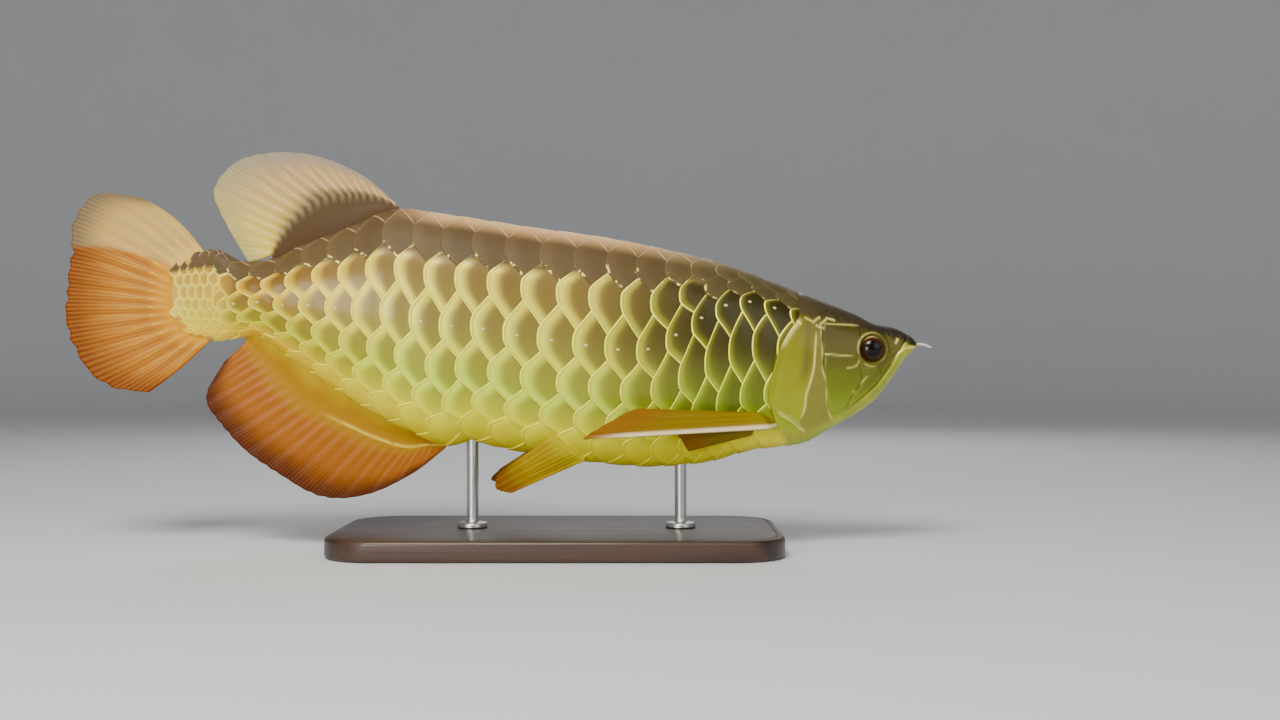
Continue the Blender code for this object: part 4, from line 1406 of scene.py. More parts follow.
        # The mouth, its folds, the nostrils and the throat.
        gape_line = smooth_line(GAPE_LINE)
        gape, gape_share = line_distance(places, gape_line)
        gape_side = np.interp(x, gape_line[::-1, 0], gape_line[::-1, 1])
        below = np.where(x > 204.6, smooth(0.4, -0.4, z - gape_side), 0)
        fade = smooth(1.0, 0.9, gape_share)
        proud += 0.5 * bell(gape, 1.3, 0.7) * fade
        proud -= 1.2 * bell(gape, 0, 0.4) * fade
        fold, fold_share = line_distance(places, smooth_line(self.lip_fold))
        proud += 0.5 * bell(fold, 0, 0.55) * smooth(1.0, 0.8, fold_share)
        proud -= 0.25 * bell(fold, 1.3, 0.5) * smooth(1.0, 0.7, fold_share)
        notch, _ = line_distance(places, smooth_line(self.snout_notch))
        proud -= 0.9 * bell(notch, 0, 0.6)
        pits = np.zeros(len(x))
        for nx, nz in self.nostrils:
            near = np.hypot(x - nx, z - nz)
            proud += 0.35 * bell(near, 1.3, 0.4) - 1.5 * smooth(1.1, 0.4, near)
            pits = np.maximum(pits, smooth(1.2, 0.6, near))
        throat = smooth(0.9, 0.97, depth) * smooth(158, 166, x) * smooth(206, 196, x)
        proud += throat * 0.14 * np.sin((x + 40 * np.abs(1 - np.abs(turn))) * 1.1)
        # Behind the head the skin sinks under the scales.
        scaled = smooth(-0.2, -0.9, zone) * (1 - top) + smooth(-3.5, -5.0, zone) * top
        proud = proud * (1 - scaled) - self.under_scales * scaled

        # Gold lines and flecks; the lines along the plates' edges are partly painted glints, with a
        # painted highlight on the gill cover's upper margin and a painted glint on the nostril.
        flecks = np.zeros(len(x))
        for stroke in self.nape_flecks:
            near = line_distance(places, np.array(stroke, float))[0]
            flecks = np.maximum(flecks, bell(near, 0, 0.5))
        cheek_top = bell(z, 131.6 - 0.04 * (x - 192), 0.45) * smooth(190, 192, x) * smooth(213, 206, x)
        seam = bell(z, 114.2 - 0.05 * (x - 192), 0.4) * smooth(190, 191, x) * smooth(210, 202, x)
        spot = bell(np.hypot(x - 208, z - 92.6), 0, 1.0)
        # Painted glint on the nostril.
        nostril = line_distance(places, smooth_line(self.nostril_glint))[0]
        arc = bell(away, 9.3, 0.4) * np.clip(np.sin(spin - 0.75), 0, 1) ** 1.5
        under = bell(away, 9.9, 0.4) * smooth(0.5, 0.2, np.abs(spin + 1.75))
        crease = line_distance(places, smooth_line(self.cheek_crease))[0]
        short = line_distance(places, smooth_line(self.cheek_fleck))[0]
        # Painted highlight along the gill cover's upper margin.
        cover_highlight = bell(zone, 1.4, 1.3) * smooth(116, 122, z) * smooth(136, 130, z)
        gold = np.clip(
            0.85 * bell(rear, 0.1, 0.5) * smooth(0.14, 0.22, rear_share) * smooth(1, 0.9, rear_share)
            + 0.8 * bell(front, 0, 0.45) * smooth(0.1, 0.2, front_share) * (0.55 + 0.45 * np.sin(z * 0.5))
            + 0.9 * bell(zone, 0.3, 0.5) * smooth(88, 79, z) * smooth(162, 165, x)
            + 0.7 * cover_highlight + flecks + 0.75 * cheek_top + 0.7 * seam + 0.5 * spot + 0.7 * arc
            + 0.5 * under + 0.6 * bell(crease, 0, 0.4) + 0.6 * bell(short, 0, 0.35)
            + 0.9 * bell(nostril, 0, 0.55)
            + 0.85 * bell(fold, 0, 0.5) * smooth(1.0, 0.6, fold_share), 0, 1) * in_head
        # The dark top of the head, and what else colours the skin.
        dark_z = Profile(self.dark_line)(x)
        dark = smooth(-1.8, 2.0, z - dark_z + 0.7 * np.sin(x * 0.9)) * in_head
        tip = smooth(240.5, 242.5, x) * smooth(119.4, 120.4, z)
        marks = {
            "gold": gold * (1 - socket),
            "dark": np.maximum(dark, tip),
            "nape": smooth(200, 168, x),
            "tail": smooth(-120, -150, x),
            "snout": np.clip(dark * smooth(206, 226, x) + tip, 0, 1),
            "cover": in_head * smooth(1.5, -3, x - rear_x) * side,
            "limb": in_head * limb * side,
            "grey": in_head * bell(x - rear_x, -4.5, 3.0) * smooth(94, 106, z),
            "jaw": np.maximum(below, smooth(0.86, 0.97, depth) * smooth(150, 158, x)),
            # Olive band above the mouth, the skin's own colour, plus painted shade in the nostril pits,
            # along the mouth's slit and in the gap round the eye.
            "olive_and_shade": np.clip(0.8 * bell(gape, 3.4, 2.6) * (1 - below) * smooth(0.8, 0.5, gape_share)
                             + pits + 0.8 * bell(gape, 0, 0.5) * fade
                             + 0.7 * bell(away, 7.9, 0.6), 0, 1),
        }
        return proud, marks

    def build(self) -> None:
        """Model the skin and hand it over."""
        xs = self.stations()
        turns = np.linspace(-1, 1, self.sides, endpoint=False)
        x, turn = (a.ravel() for a in np.meshgrid(xs, turns, indexing="ij"))
        smooth_form = FISH.flank(x, turn)
        proud, marks = self.relief(x, smooth_form[:, 2], turn)
        proud *= smooth(self.snout_x + 0.6, self.snout_x - 2.5, x)
        verts = FISH.raised(x, turn, proud)
        verts[:, 1] *= 1 - 0.85 * smooth(-1.0, 4.5, behind_root(x, smooth_form[:, 2]))
        uv = np.stack([(x - xs[0]) / (xs[-1] - xs[0]) * 0.98 + 0.01, (turn + 1) / 2 * 0.999], 1)
        piece = Piece("fish_skin")
        piece.add(verts, grid_faces(len(xs), self.sides, closed=True, flip=True), uv, **marks)
        for ring, station, flip in ((0, xs[0], True), (len(xs) - 1, xs[-1], False)):
            middle = (FISH.back(station) + FISH.belly(station)) / 2
            bulge = -1.0 if ring == 0 else 0.9
            rim = np.arange(self.sides) + ring * self.sides - piece.count
            following = np.roll(rim, -1)
            fan = np.stack([np.zeros(self.sides, int), following, rim], 1)
            cap_marks = {key: float(values[ring * self.sides:(ring + 1) * self.sides].mean())
                         for key, values in marks.items()}
            edge_u = 0.004 if ring == 0 else 0.996
            piece.add(np.array([[station + bulge, 0, middle]]), fan[:, ::-1] if flip else fan,
                      np.array([[edge_u, 0.5]]), **cap_marks)
        obj = piece.make(SkinFinish().material())
        register(obj, "head_skin", "head", "lower_jaw", "torso", "tail_stalk")


@dataclass(frozen=True)
class Weave:
    """One piece of the coat: its rows, how far apart they lie and where they run.

    Rows and columns count in steps of their own; whole columns belong to odd rows.
    """

    name: str
    rows: tuple[int, ...]
    columns: Pair = (FIRST_COLUMN, 20.0)
    row_step: float = 1.0
    column_step: float = 1.0
    across_count: int = 25
    along_shares: tuple[float, ...] = (0, 0.014, 0.03, 0.048, 0.07, 0.1, 0.14, 0.185, 0.24, 0.31,
                                       0.4, 0.5, 0.61, 0.72, 0.86, 1.0)


SMALL_STEP = 14 / 22
WEAVES = (
    Weave("back", (-1, 0, 1)),
    Weave("flank_left", (2, 3, 4, 5)),
    Weave("flank_right", (-5, -4, -3, -2)),
    Weave("belly", (6, -7, -6)),
    Weave("stalk", tuple(range(-10, 12)), (19.6, 26.0), SMALL_STEP, 0.72, 15,
          (0, 0.025, 0.06, 0.1, 0.16, 0.24, 0.36, 0.55, 0.78, 1.0)),
)


@dataclass
class ScaleCoat:
    """The big overlapping scales, each a curved plate with a raised, rounded rear rim."""

    step: float = 1.2
    hinge: float = 0.22
    slope: float = 1.18
    hinge_round: float = 0.1
    half_span: float = 0.84
    overlap: float = 0.22
    thickness: float = 0.55
    bead: float = 0.26
    bead_place: float = 0.6
    bead_width: float = 0.7
    dome: float = 0.4
    along_from: float = 155.0
    along_length: float = 345.0
    dark_depth: Pair = (0.24, 0.17)
    gilt_depth: Pair = (0.155, 0.175)
    edge_lift: Knots = ((30, 0), (60, 0.025), (100, 0.06), (130, 0.07), (143, 0.09), (158, 0.115),
                        (175, 0.12))
    seed: int = 11

    def bend(self, offset: Array) -> Array:
        """How far ahead of its rearmost point a rim lies, a row offset away.

        Args:
            offset: rows away from the scale's middle.

        Returns:
            Columns, near nothing in the middle and rising straight beyond a soft hinge.
        """
        past = np.abs(offset) - self.hinge
        rise = np.sqrt(past ** 2 + self.hinge_round ** 2) + past
        start = math.hypot(self.hinge, self.hinge_round) - self.hinge
        return self.slope * (rise - start) / 2

    def front(self, offset: Array) -> Array:
        """How far ahead of its rearmost point a plate ends, under the ones before it.

        Args:
            offset: rows away from the scale's middle.

        Returns:
            Columns.
        """
        previous = 1 + self.bend(offset)
        beside = 0.5 + self.bend(1 - np.abs(offset))
        return np.maximum(np.minimum(previous, beside) + self.overlap, self.bend(offset) + 0.12)

    def plates(self, weave: Weave) -> list[tuple[float, int]]:
        """The scales of a weave.

        Args:
            weave: the weave.

        Returns:
            (rearmost column, row) pairs.
        """
        found = []
        first, last = weave.columns
        for row in weave.rows:
            start = first + (0 if row % 2 else weave.column_step / 2)
            found += [(column, row) for column in np.arange(start, last + 0.01, weave.column_step)]
        return found

    def surface(self, weave: Weave, column: float, row: int, nudge: float) -> dict[str, Array]:
        """The upper and lower faces of one plate.

        Args:
            weave: the weave that it belongs to.
            column: its rearmost column.
            row: its row.
            nudge: a small random number for its shape, -1 to 1.

        Returns:
            Arrays by name: places above and below, distance to the rim and marks.
        """
        shares = np.array(weave.along_shares)[:, None]
        offset = np.linspace(-self.half_span, self.half_span, weave.across_count)[None, :]
        rim = self.bend(offset) + nudge * 0.03
        back = rim + (self.front(offset) - rim) * shares
        x = LATTICE.column_x(column - back * weave.column_step)
        turn = LATTICE.turn(x, (row + offset) * weave.row_step)
        pitch = LATTICE.column_x(column - weave.column_step) - LATTICE.column_x(column)
        scale = np.clip(pitch / FULL_PITCH, 0.22, 1.15)
        from_rim = (back - rim) * pitch
        z = FISH.flank(x, turn)[..., 2]
        depth = FISH.depth_share(x, z)
        shade = depth + Profile(self.edge_lift)(x) * smooth(0.42, 0.2, depth)
        dark = smooth(*self.dark_depth, shade)
        step = LATTICE.step(column, np.abs((row + offset * 0) * weave.row_step)) * self.step
        step = step * (1 - 0.45 * dark) * weave.column_step ** 0.5
        # Height: a step up to the rim, a bead along it and a domed middle.
        level = np.clip(1 - back, -0.1, 1)
        inside = smooth(0.8, 0.55, np.abs(offset))
        bead = self.bead * scale ** 0.5 * np.exp(
            -((from_rim - self.bead_place) / self.bead_width) ** 2) * inside * (1 - 0.7 * dark)
        dome = self.dome * scale * (1 - (offset / self.half_span) ** 2) * np.sin(
            math.pi * np.clip(back, 0, 1)) * smooth(1.1, 0.6, back) * (1 - 0.5 * dark)
        sag = -0.26 * scale * smooth(0.6, 0.0, from_rim)
        height = level * step + bead + dome + (sag + 0.1) * inside + nudge * 0.06 * level
        # Under the skin of the head a plate sinks out of sight.
        zone = head_zone(x, z)
        top = smooth(0.2, 0.08, depth)
        hidden = smooth(0.2, 1.8, zone) * (1 - top) + smooth(-3.0, 1.5, zone) * top
        height = height * (1 - hidden) - 1.5 * hidden
        thin = self.thickness * scale * (0.6 + 0.4 * inside)
        flat = offset + 0 * x
        return {"top": FISH.raised(x, turn, height),
                "under": FISH.raised(x, turn, np.minimum(height - thin, height - 0.15)),
                "rim": from_rim / max(scale, 0.6), "depth": depth, "shade": shade, "hidden": hidden,
                "along": np.clip((self.along_from - x) / self.along_length, 0, 1),
                "u": 1 - shares + 0 * x,
                "v": (flat / self.half_span + 1) / 2}

    def add_plate(self, piece: Piece, weave: Weave, place: tuple[float, int],
                  cell: tuple[float, float, float, float], draw: Array) -> bool:
        """Add one plate to a piece.

        Args:
            piece: where it goes.
            weave: the weave that it belongs to.
            place: its rearmost column and its row.
            cell: low and high u, low and high v of its patch of the bake map.
            draw: random numbers for its shape and tone.

        Returns:
            Whether it shows at all.
        """
        face = self.surface(weave, *place, draw[0] * 2 - 1)
        ragged = draw[1] if face["shade"].mean() > 0.3 else 1.0
        if face["hidden"].min() > 0.98 or self.behind_tail(face["top"], ragged):
            return False
        rows, columns = face["u"].shape
        low_u, high_u, low_v, high_v = cell
        v = low_v + (0.03 + 0.94 * face["v"].ravel()) * (high_v - low_v)
        upper = low_u + (0.1 + 0.88 * face["u"].ravel()) * (high_u - low_u)
        lower = low_u + (0.01 + 0.06 * face["u"].ravel()) * (high_u - low_u)
        verts = np.vstack([face["top"].reshape(-1, 3), face["under"].reshape(-1, 3)])
        marks = {key: np.tile(face[key].ravel(), 2) for key in ("rim", "depth", "shade", "along")}
        own = face["depth"][2, columns // 2]
        piece.add(verts, self.shell_faces(rows, columns),
                  np.stack([np.concatenate([upper, lower]), np.tile(v, 2)], 1),
                  tone=draw[1], gilt=smooth(*self.gilt_depth, own), **marks)
        return True

    @staticmethod
    def shell_faces(rows: int, columns: int) -> Array:
        """Faces of a closed plate over matching upper and lower grids.

        Args:
            rows: rows of either grid.
            columns: columns of either grid.

        Returns:
            (m, 4) vertex numbers.
        """
        shift = rows * columns
        top = grid_faces(rows, columns, flip=True)
        bottom = grid_faces(rows, columns) + shift
        j = np.arange(columns - 1)
        rear = np.stack([j + 1, shift + j + 1, shift + j, j], 1)
        front = rear[:, ::-1] + (rows - 1) * columns
        i = np.arange(rows - 1) * columns
        near = np.stack([i, shift + i, shift + i + columns, i + columns], 1)
        far = near[:, ::-1] + columns - 1
        return np.vstack([top, bottom, rear, front, near, far])

    @staticmethod
    def behind_tail(top: Array, draw: float) -> bool:
        """Whether a plate's rim runs out over the tail's root.

        Args:
            top: its upper face, the rim first.
            draw: a random number, so that the last scales end unevenly.

        Returns:
            True where it is left out.
        """
        rim = top[0]
        middle = rim[len(rim) // 4:-len(rim) // 4]
        return bool(behind_root(middle[:, 0], middle[:, 2]).max() > 1.5 + 3.5 * draw)

    def build(self) -> None:
        """Model every weave and hand it over."""
        material = ScaleFinish().material()
        random = np.random.default_rng(self.seed)
        for weave in WEAVES:
            piece = Piece("scales_" + weave.name)
            first, last = weave.columns
            span = last - first + 1.5 * weave.column_step
            shown = 0
            for column, row in self.plates(weave):
                start = (column - first) / span
                lane = weave.rows.index(row) / len(weave.rows)
                cell = (start, start + weave.column_step / span, lane, lane + 1 / len(weave.rows))
                shown += self.add_plate(piece, weave, (column, row), cell, random.random(2))
            register(piece.make(material), "scales")
            log.info("%s: %d plates", piece.name, shown)


@dataclass
class Fin:
    """A fin's blade between a root, a bed where its rays begin and a margin, in mm."""

    name: str
    root: Array
    bed: Array
    margin: Array
    halves: Triple
    rays: int
    slot: str
    finish: FinFinish
    bow: Pair = (0.0, 0.0)
    lead: float = 0.0
    hem: float = 0.0
    ray_radii: Pair = (0.78, 0.18)
    forks: Pair = (0.45, 0.7)
    bed_share: float = 0.25
    ray_start: float = 0.21
    root_fall: float = 0.0
    branch_spread: float = 0.36
    branch_sizes: tuple[float, ...] = (1.0, 0.82, 0.66)
    per_ray: int = 8
    steps: int = 56
    ripple: float = 0.12
    fray: float = 0.006

    def middle(self, u: Array, v: Array) -> Array:
        """Places in the middle of the blade.

        Args:
            u: shares along the base.
            v: shares from the root to the margin.

        Returns:
            Places in mm.
        """
        u, v = np.broadcast_arrays(np.asarray(u, float), np.asarray(v, float))
        root, bed, end = (curve_at(line, u) for line in (self.root, self.bed, self.margin))
        t = np.clip((v - self.bed_share) / (1 - self.bed_share), 0, 1.05)[..., None]
        inner = root + (bed - root) * np.clip(v / self.bed_share, 0, 1)[..., None]
        across = np.cross(end - bed, np.array([0.0, 1.0, 0.0]))
        across /= np.linalg.norm(across, axis=-1, keepdims=True)
        bow = (self.bow[0] + (self.bow[1] - self.bow[0]) * u)[..., None]
        outer = bed + (end - bed) * t + across * bow * 4 * t * (1 - t)
        return np.where((v <= self.bed_share)[..., None], inner, outer)

    def facing(self, u: Array, v: Array) -> Array:
        """Directions square to the blade.

        Args:
            u: shares along the base.
            v: shares from the root to the margin.

        Returns:
            Directions of length 1.
        """
        step = 0.004
        along = self.middle(np.clip(u + step, 0, 1), v) - self.middle(np.clip(u - step, 0, 1), v)
        out = self.middle(u, np.clip(v + step, 0, 1)) - self.middle(u, np.clip(v - step, 0, 1))
        cross = np.cross(along, out)
        return cross / np.maximum(np.linalg.norm(cross, axis=-1, keepdims=True), 1e-9)

    def half(self, u: Array, v: Array) -> Array:
        """Half the thickness of the membrane.

        Args:
            u: shares along the base.
            v: shares from the root to the margin.

        Returns:
            Sizes in mm, falling in a hollow curve from the root to the bed.
        """
        root, bed, end = self.halves
        root = bed + (root * (1 - self.root_fall * u) - bed) * smooth(0, 0.1, u) * smooth(1, 0.92, u)
        inner = bed + (root - bed) * (1 - np.clip(v / self.bed_share, 0, 1)) ** 2.2
        outer = np.clip((v - self.bed_share) / (1 - self.bed_share), 0, 1)
        plain = np.where(v <= self.bed_share, inner, bed + (end - bed) * outer ** 0.45)
        return plain + self.lead * np.clip(1 - 9 * u, 0, 1) * (1.1 - v) * 0.5

    def membrane(self, material: Material) -> Object:
        """The closed thin blade, rippled between its rays.

        Args:
            material: its finish.

        Returns:
            The object.
        """
        columns = self.rays * self.per_ray + 1
        us = np.linspace(0, 1, columns)
        vs = np.linspace(0, 1, self.steps)
        u, v = np.meshgrid(us, vs, indexing="ij")
        phase = u * self.rays * 2 * math.pi
        crest = (1 - np.cos(phase)) / 2
        notch = (1 - crest) * self.fray * smooth(0.9, 1.0, v) * (1 + 0.7 * np.sin(u * 37))
        out = v - notch
        middle = self.middle(u, out)
        facing = self.facing(u, np.clip(out, 0.004, 0.996))
        sway = self.ripple * np.sin(phase * 0.5 + 1.3) * smooth(self.bed_share, 1.0, v)
        relief = self.half(u, v) * (1 - 0.3 * (1 - crest) * smooth(self.ray_start, 0.4, v))
        place = self.bed_share - 0.012 + 0.006 * np.sin(u * 110) * np.sin(u * 47)
        hem = bell(v - place, 0, 0.009) * smooth(self.hem, self.hem * 0.75, u) if self.hem else 0 * u
        relief = relief + 0.3 * hem
        lead = smooth(0.14, 0.05, u) * smooth(1.0, 0.8, v) if self.lead > 1 else 0 * u
        piece = Piece(self.name + "_blade")
        size = columns * self.steps
        for index, sign in enumerate((1, -1)):
            places = middle + facing * (sway + sign * relief)[..., None]
            uv = np.stack([u * 0.98 + 0.01, (v * 0.48 + 0.01) + 0.5 * index], -1).reshape(-1, 2)
            piece.add(places.reshape(-1, 3), grid_faces(columns, self.steps, flip=sign > 0), uv,
                      fin_u=u.ravel(), fin_v=v.ravel(), crest=crest.ravel(), hem=hem.ravel(),
                      lead=lead.ravel())
        ring = self._rim(columns)
        following = np.roll(ring, -1)
        walls = np.stack([ring, following, following + size, ring + size], 1)
        piece.faces.append(walls[:, ::-1])
        return piece.make(material)

    def _rim(self, columns: int) -> Array:
        """The edge of one face of the blade.

        Args:
            columns: how many columns of vertices it has.

        Returns:
            Vertex numbers in order.
        """
        last = self.steps - 1
        return np.concatenate([
            np.arange(columns) * self.steps,
            (columns - 1) * self.steps + np.arange(1, self.steps),
            np.arange(columns - 2, -1, -1) * self.steps + last,
            np.arange(last - 1, 0, -1),
        ])

    def strands(self) -> list[Strand]:
        """The rays: a stem that divides into two and again into four branches.

        Returns:
            Their stems and branches.
        """
        found = []
        first, second = self.forks
        start_radius, end_radius = self.ray_radii
        for ray in range(self.rays):
            centre = (ray + 0.5) / self.rays
            spread = self.branch_spread / self.rays
            sections = [(self.ray_start, first, (0.0,), (0.0,), 14),
                        (first, second, (0.0, 0.0), (-0.55, 0.55), 9),
                        (second, 0.995, (-0.55, -0.55, 0.55, 0.55), (-0.95, -0.28, 0.28, 0.95), 9)]
            for level, (low, high, starts, ends, count) in enumerate(sections):
                for begin, finish in zip(starts, ends):
                    v = np.linspace(low, high, count)
                    share = smooth(0, 1, np.linspace(0, 1, count)) if level else np.zeros(count)
                    u = centre + spread * (begin + (finish - begin) * share)
                    fade = (v - self.ray_start) / (1 - self.ray_start)
                    radius = start_radius + (end_radius - start_radius) * fade ** 0.7
                    radius = radius * self.branch_sizes[level] * smooth(-0.06, 0.22, fade)
                    found.append(Strand(self.middle(u, v), radius, u, v))
        return found

    def build(self, sweeper: Sweeper) -> None:
        """Model the blade and its rays and hand them over.

        Args:
            sweeper: sweeps the rays.
        """
        blade = self.membrane(self.finish.material())
        register(blade, self.slot, self.name)
        ray_finish = replace(self.finish, name=self.finish.name + "_ray", ray_part=True)
        rays = sweeper.sweep(self.name + "_rays", self.strands(), 8, ray_finish.material())
        register(rays, self.slot)


def side_points(points: Knots) -> Array:
    """Points (x, z) as places in the middle plane."""
    return np.array([(x, 0.0, z) for x, z in points])


def mirrored(points: Knots, side: Side) -> Array:
    """Points (x, y, z) of the left side, on the side asked for."""
    return np.array([(x, y * side.value, z) for x, y, z in points], float)


DORSAL_BED = (
    (-58.5, 201.5), (-69.7, 206.8), (-80.4, 208.6), (-90.4, 208.8), (-102.2, 207.4), (-113.5, 201.2),
    (-122.9, 192), (-129.4, 182), (-133.6, 173.2),
)
DORSAL_MARGIN = (
    (-60.3, 203.6), (-76.8, 218.1), (-92.2, 226.4), (-111.1, 232.6), (-133.6, 233.7), (-153.7, 228.7),
    (-167.8, 213.3), (-163.2, 196), (-147, 168),
)
ANAL_BED = (
    (-30.2, 60.2), (-41.4, 60.1), (-55, 58.8), (-72.7, 64.1), (-93.4, 73.3), (-111.7, 82.1),
    (-127.7, 95.7), (-139.5, 109.9), (-149.6, 121),
)
ANAL_MARGIN = (
    (-32, 58), (-50.8, 43.7), (-76.8, 31.6), (-104, 30.1), (-128.2, 42.8), (-148.3, 56.7), (-164.9, 74.5),
    (-172.6, 89.8), (-161.9, 109.9),
)
CAUDAL_MARGIN = (
    (-211, 207.4), (-237, 209.4), (-250.6, 195), (-252.6, 175), (-254.7, 156), (-255.9, 138),
    (-250.6, 117.6), (-233, 96.6), (-207, 91.6),
)
TAIL_TOP = (-170, 175.2)
TAIL_BOTTOM = (-165, 124)
CAUDAL_BED_DEPTH = 4.0
CAUDAL_BOW = (-3.5, 1.5)
DORSAL_SINK = 5.0
ANAL_SINK = 6.0
ROOT_POINTS = 9
DORSAL_REACH = (-60, -132)
ANAL_REACH = (-31, -148)
PECTORAL_ROOT = ((164, 72.5), (161.5, 75.3), (158, 76.4), (154.5, 73.8), (151.5, 68.5))
PECTORAL_SINK = 2.2
PECTORAL_BED = (
    (157, 30.5, 71.5), (155, 28.5, 77.2), (151, 26, 80.4), (147.5, 22.5, 76.2), (144.5, 18, 66.5),
)
PECTORAL_MARGIN = ((51.4, 56, 66.8), (61, 50, 73), (84, 41, 83.5), (101, 32, 73), (112, 22, 58.3))
PELVIC_ROOT = ((50, 4, 59.5), (43.5, 7.5, 64), (35, 10.5, 69))
PELVIC_BED = ((51, 8.5, 52), (43, 15, 58), (33, 20, 67))
PELVIC_MARGIN = {
    Side.LEFT: ((2, 22, 36), (-6.5, 24, 38.4), (-1, 25, 45)),
    Side.RIGHT: ((9.5, 21, 34), (1, 24, 37), (2, 26, 45)),
}

DORSAL_FINISH = FinFinish(
    "dorsal_membrane", FinColour.DORSAL, (74, 55, 34), (80, 60, 36), (170, 132, 82), (138, 124, 106),
    (240, 214, 144), 66)
TAIL_FINISH = FinFinish(
    "tail_membrane", FinColour.TAIL, (214, 164, 30), (206, 138, 0), (158, 88, 0), (112, 42, 0),
    (246, 190, 34), 60)
ANAL_FINISH = FinFinish(
    "anal_membrane", FinColour.ORANGE, (190, 162, 4), (160, 114, 0), (148, 82, 0), (68, 19, 0),
    (188, 112, 0), 96)
PECTORAL_FINISH = FinFinish(
    "pectoral_membrane", FinColour.PECTORAL, (194, 168, 8), (128, 108, 0), (114, 94, 0), (128, 82, 0),
    (164, 130, 4), 40)
PELVIC_FINISH = FinFinish(
    "pelvic_membrane", FinColour.ORANGE, (220, 204, 10), (184, 172, 0), (158, 128, 0), (126, 68, 0),
    (216, 184, 8), 34)


def all_fins() -> list[Fin]:
    """Every fin of the fish.

    Returns:
        The three fins of the middle plane and the two pairs.
    """
    root_line = (TAIL_TOP,) + TAIL_ROOT[1:-1] + (TAIL_BOTTOM,)
    tail_root = smooth_line(root_line, ROOT_POINTS)
    inner = np.stack([tail_root[:, 0] + 1.5, np.zeros(ROOT_POINTS), tail_root[:, 1]], 1)
    bed = inner - np.array([CAUDAL_BED_DEPTH + 1.5, 0, 0])

    def sunk(line: Profile, reach: Pair, sink: float) -> Array:
        """Points along the back or the belly, from reach to reach, moved by sink."""
        xs = np.linspace(*reach, ROOT_POINTS)
        return np.stack([xs, 0 * xs, line(xs) + sink], 1)

    fins = [
        Fin("dorsal_fin", sunk(FISH.back, DORSAL_REACH, -DORSAL_SINK), side_points(DORSAL_BED),
            side_points(DORSAL_MARGIN), (8.6, 0.8, 0.14), 19, "dorsal_fin", DORSAL_FINISH),
        Fin("anal_fin", sunk(FISH.belly, ANAL_REACH, ANAL_SINK), side_points(ANAL_BED),
            side_points(ANAL_MARGIN), (9.4, 0.8, 0.14), 27, "orange_fin", ANAL_FINISH,
            hem=0.6, root_fall=0.35, ray_radii=(0.7, 0.16)),
        Fin("caudal_fin", inner, bed, side_points(CAUDAL_MARGIN), (1.6, 0.95, 0.14), 16,
            "orange_fin", TAIL_FINISH, CAUDAL_BOW, ray_radii=(0.95, 0.18),
            forks=(0.4, 0.62), fray=0.014),
    ]
    for side in Side:
        flank = np.array([(x, side.value * (FISH.side_y(x, z) - PECTORAL_SINK), z)
                          for x, z in PECTORAL_ROOT])
        fins.append(Fin(f"pectoral_fin_{side.word}", flank, mirrored(PECTORAL_BED, side),
                        mirrored(PECTORAL_MARGIN, side), (1.3, 0.8, 0.16), 9, "pectoral_fin",
                        PECTORAL_FINISH, lead=1.9, ray_radii=(0.72, 0.16), per_ray=10))
        fins.append(Fin(f"pelvic_fin_{side.word}", mirrored(PELVIC_ROOT, side),
                        mirrored(PELVIC_BED, side), mirrored(PELVIC_MARGIN[side], side),
                        (1.6, 0.7, 0.16), 8, "orange_fin", PELVIC_FINISH, lead=0.8,
                        ray_radii=(0.62, 0.16)))
    return fins


@dataclass
class Eye:
    """One eye: a flattened ball set in its socket."""

    side: Side
    segments: int = 96
    rings: int = 48

    def build(self, material: Material) -> None:
        """Model the eye and hand it over.

        Args:
            material: its finish.
        """
        x, z = EYE_CENTRE
        centre = np.array([x, self.side.value * (FISH.side_y(x, z) - EYE_INSET), z])
        tilt = np.linspace(0, math.pi, self.rings)
        spin = np.linspace(0, 2 * math.pi, self.segments, endpoint=False)
        tilt, spin = np.meshgrid(tilt[1:-1], spin, indexing="ij")
        ball = np.stack([EYE_RADIUS * np.sin(tilt) * np.cos(spin),
                         EYE_DEPTH * np.cos(tilt) * self.side.value,
                         EYE_RADIUS * np.sin(tilt) * np.sin(spin)], -1).reshape(-1, 3)
        away = np.where(tilt < math.pi / 2, np.sin(tilt), 1.0).ravel()
        uv = np.stack([0.5 + 0.48 * tilt / math.pi * np.cos(spin),
                       0.5 + 0.48 * tilt / math.pi * np.sin(spin)], -1).reshape(-1, 2)
        piece = Piece(f"eye_ball_{self.side.word}")
        flip = self.side is Side.RIGHT
        piece.add(centre + ball, grid_faces(self.rings - 2, self.segments, True, flip), uv,
                  away=away, angle=spin.ravel())
        for pole, ring in ((1, 0), (-1, self.rings - 3)):
            rim = np.arange(self.segments) + ring * self.segments - piece.count
            fan = np.stack([np.zeros(self.segments, int), rim, np.roll(rim, -1)], 1)
            if (pole > 0) != flip:
                fan = fan[:, ::-1]
            place = centre + np.array([0, pole * EYE_DEPTH * self.side.value, 0])
            spot = (0.5, 0.5) if pole > 0 else (0.98, 0.98)
            piece.add(place[None, :], fan, np.array([spot]), away=0.0 if pole > 0 else 1.0,
                      angle=0.0)
        register(piece.make(material), "eye", f"eye_{self.side.word}")


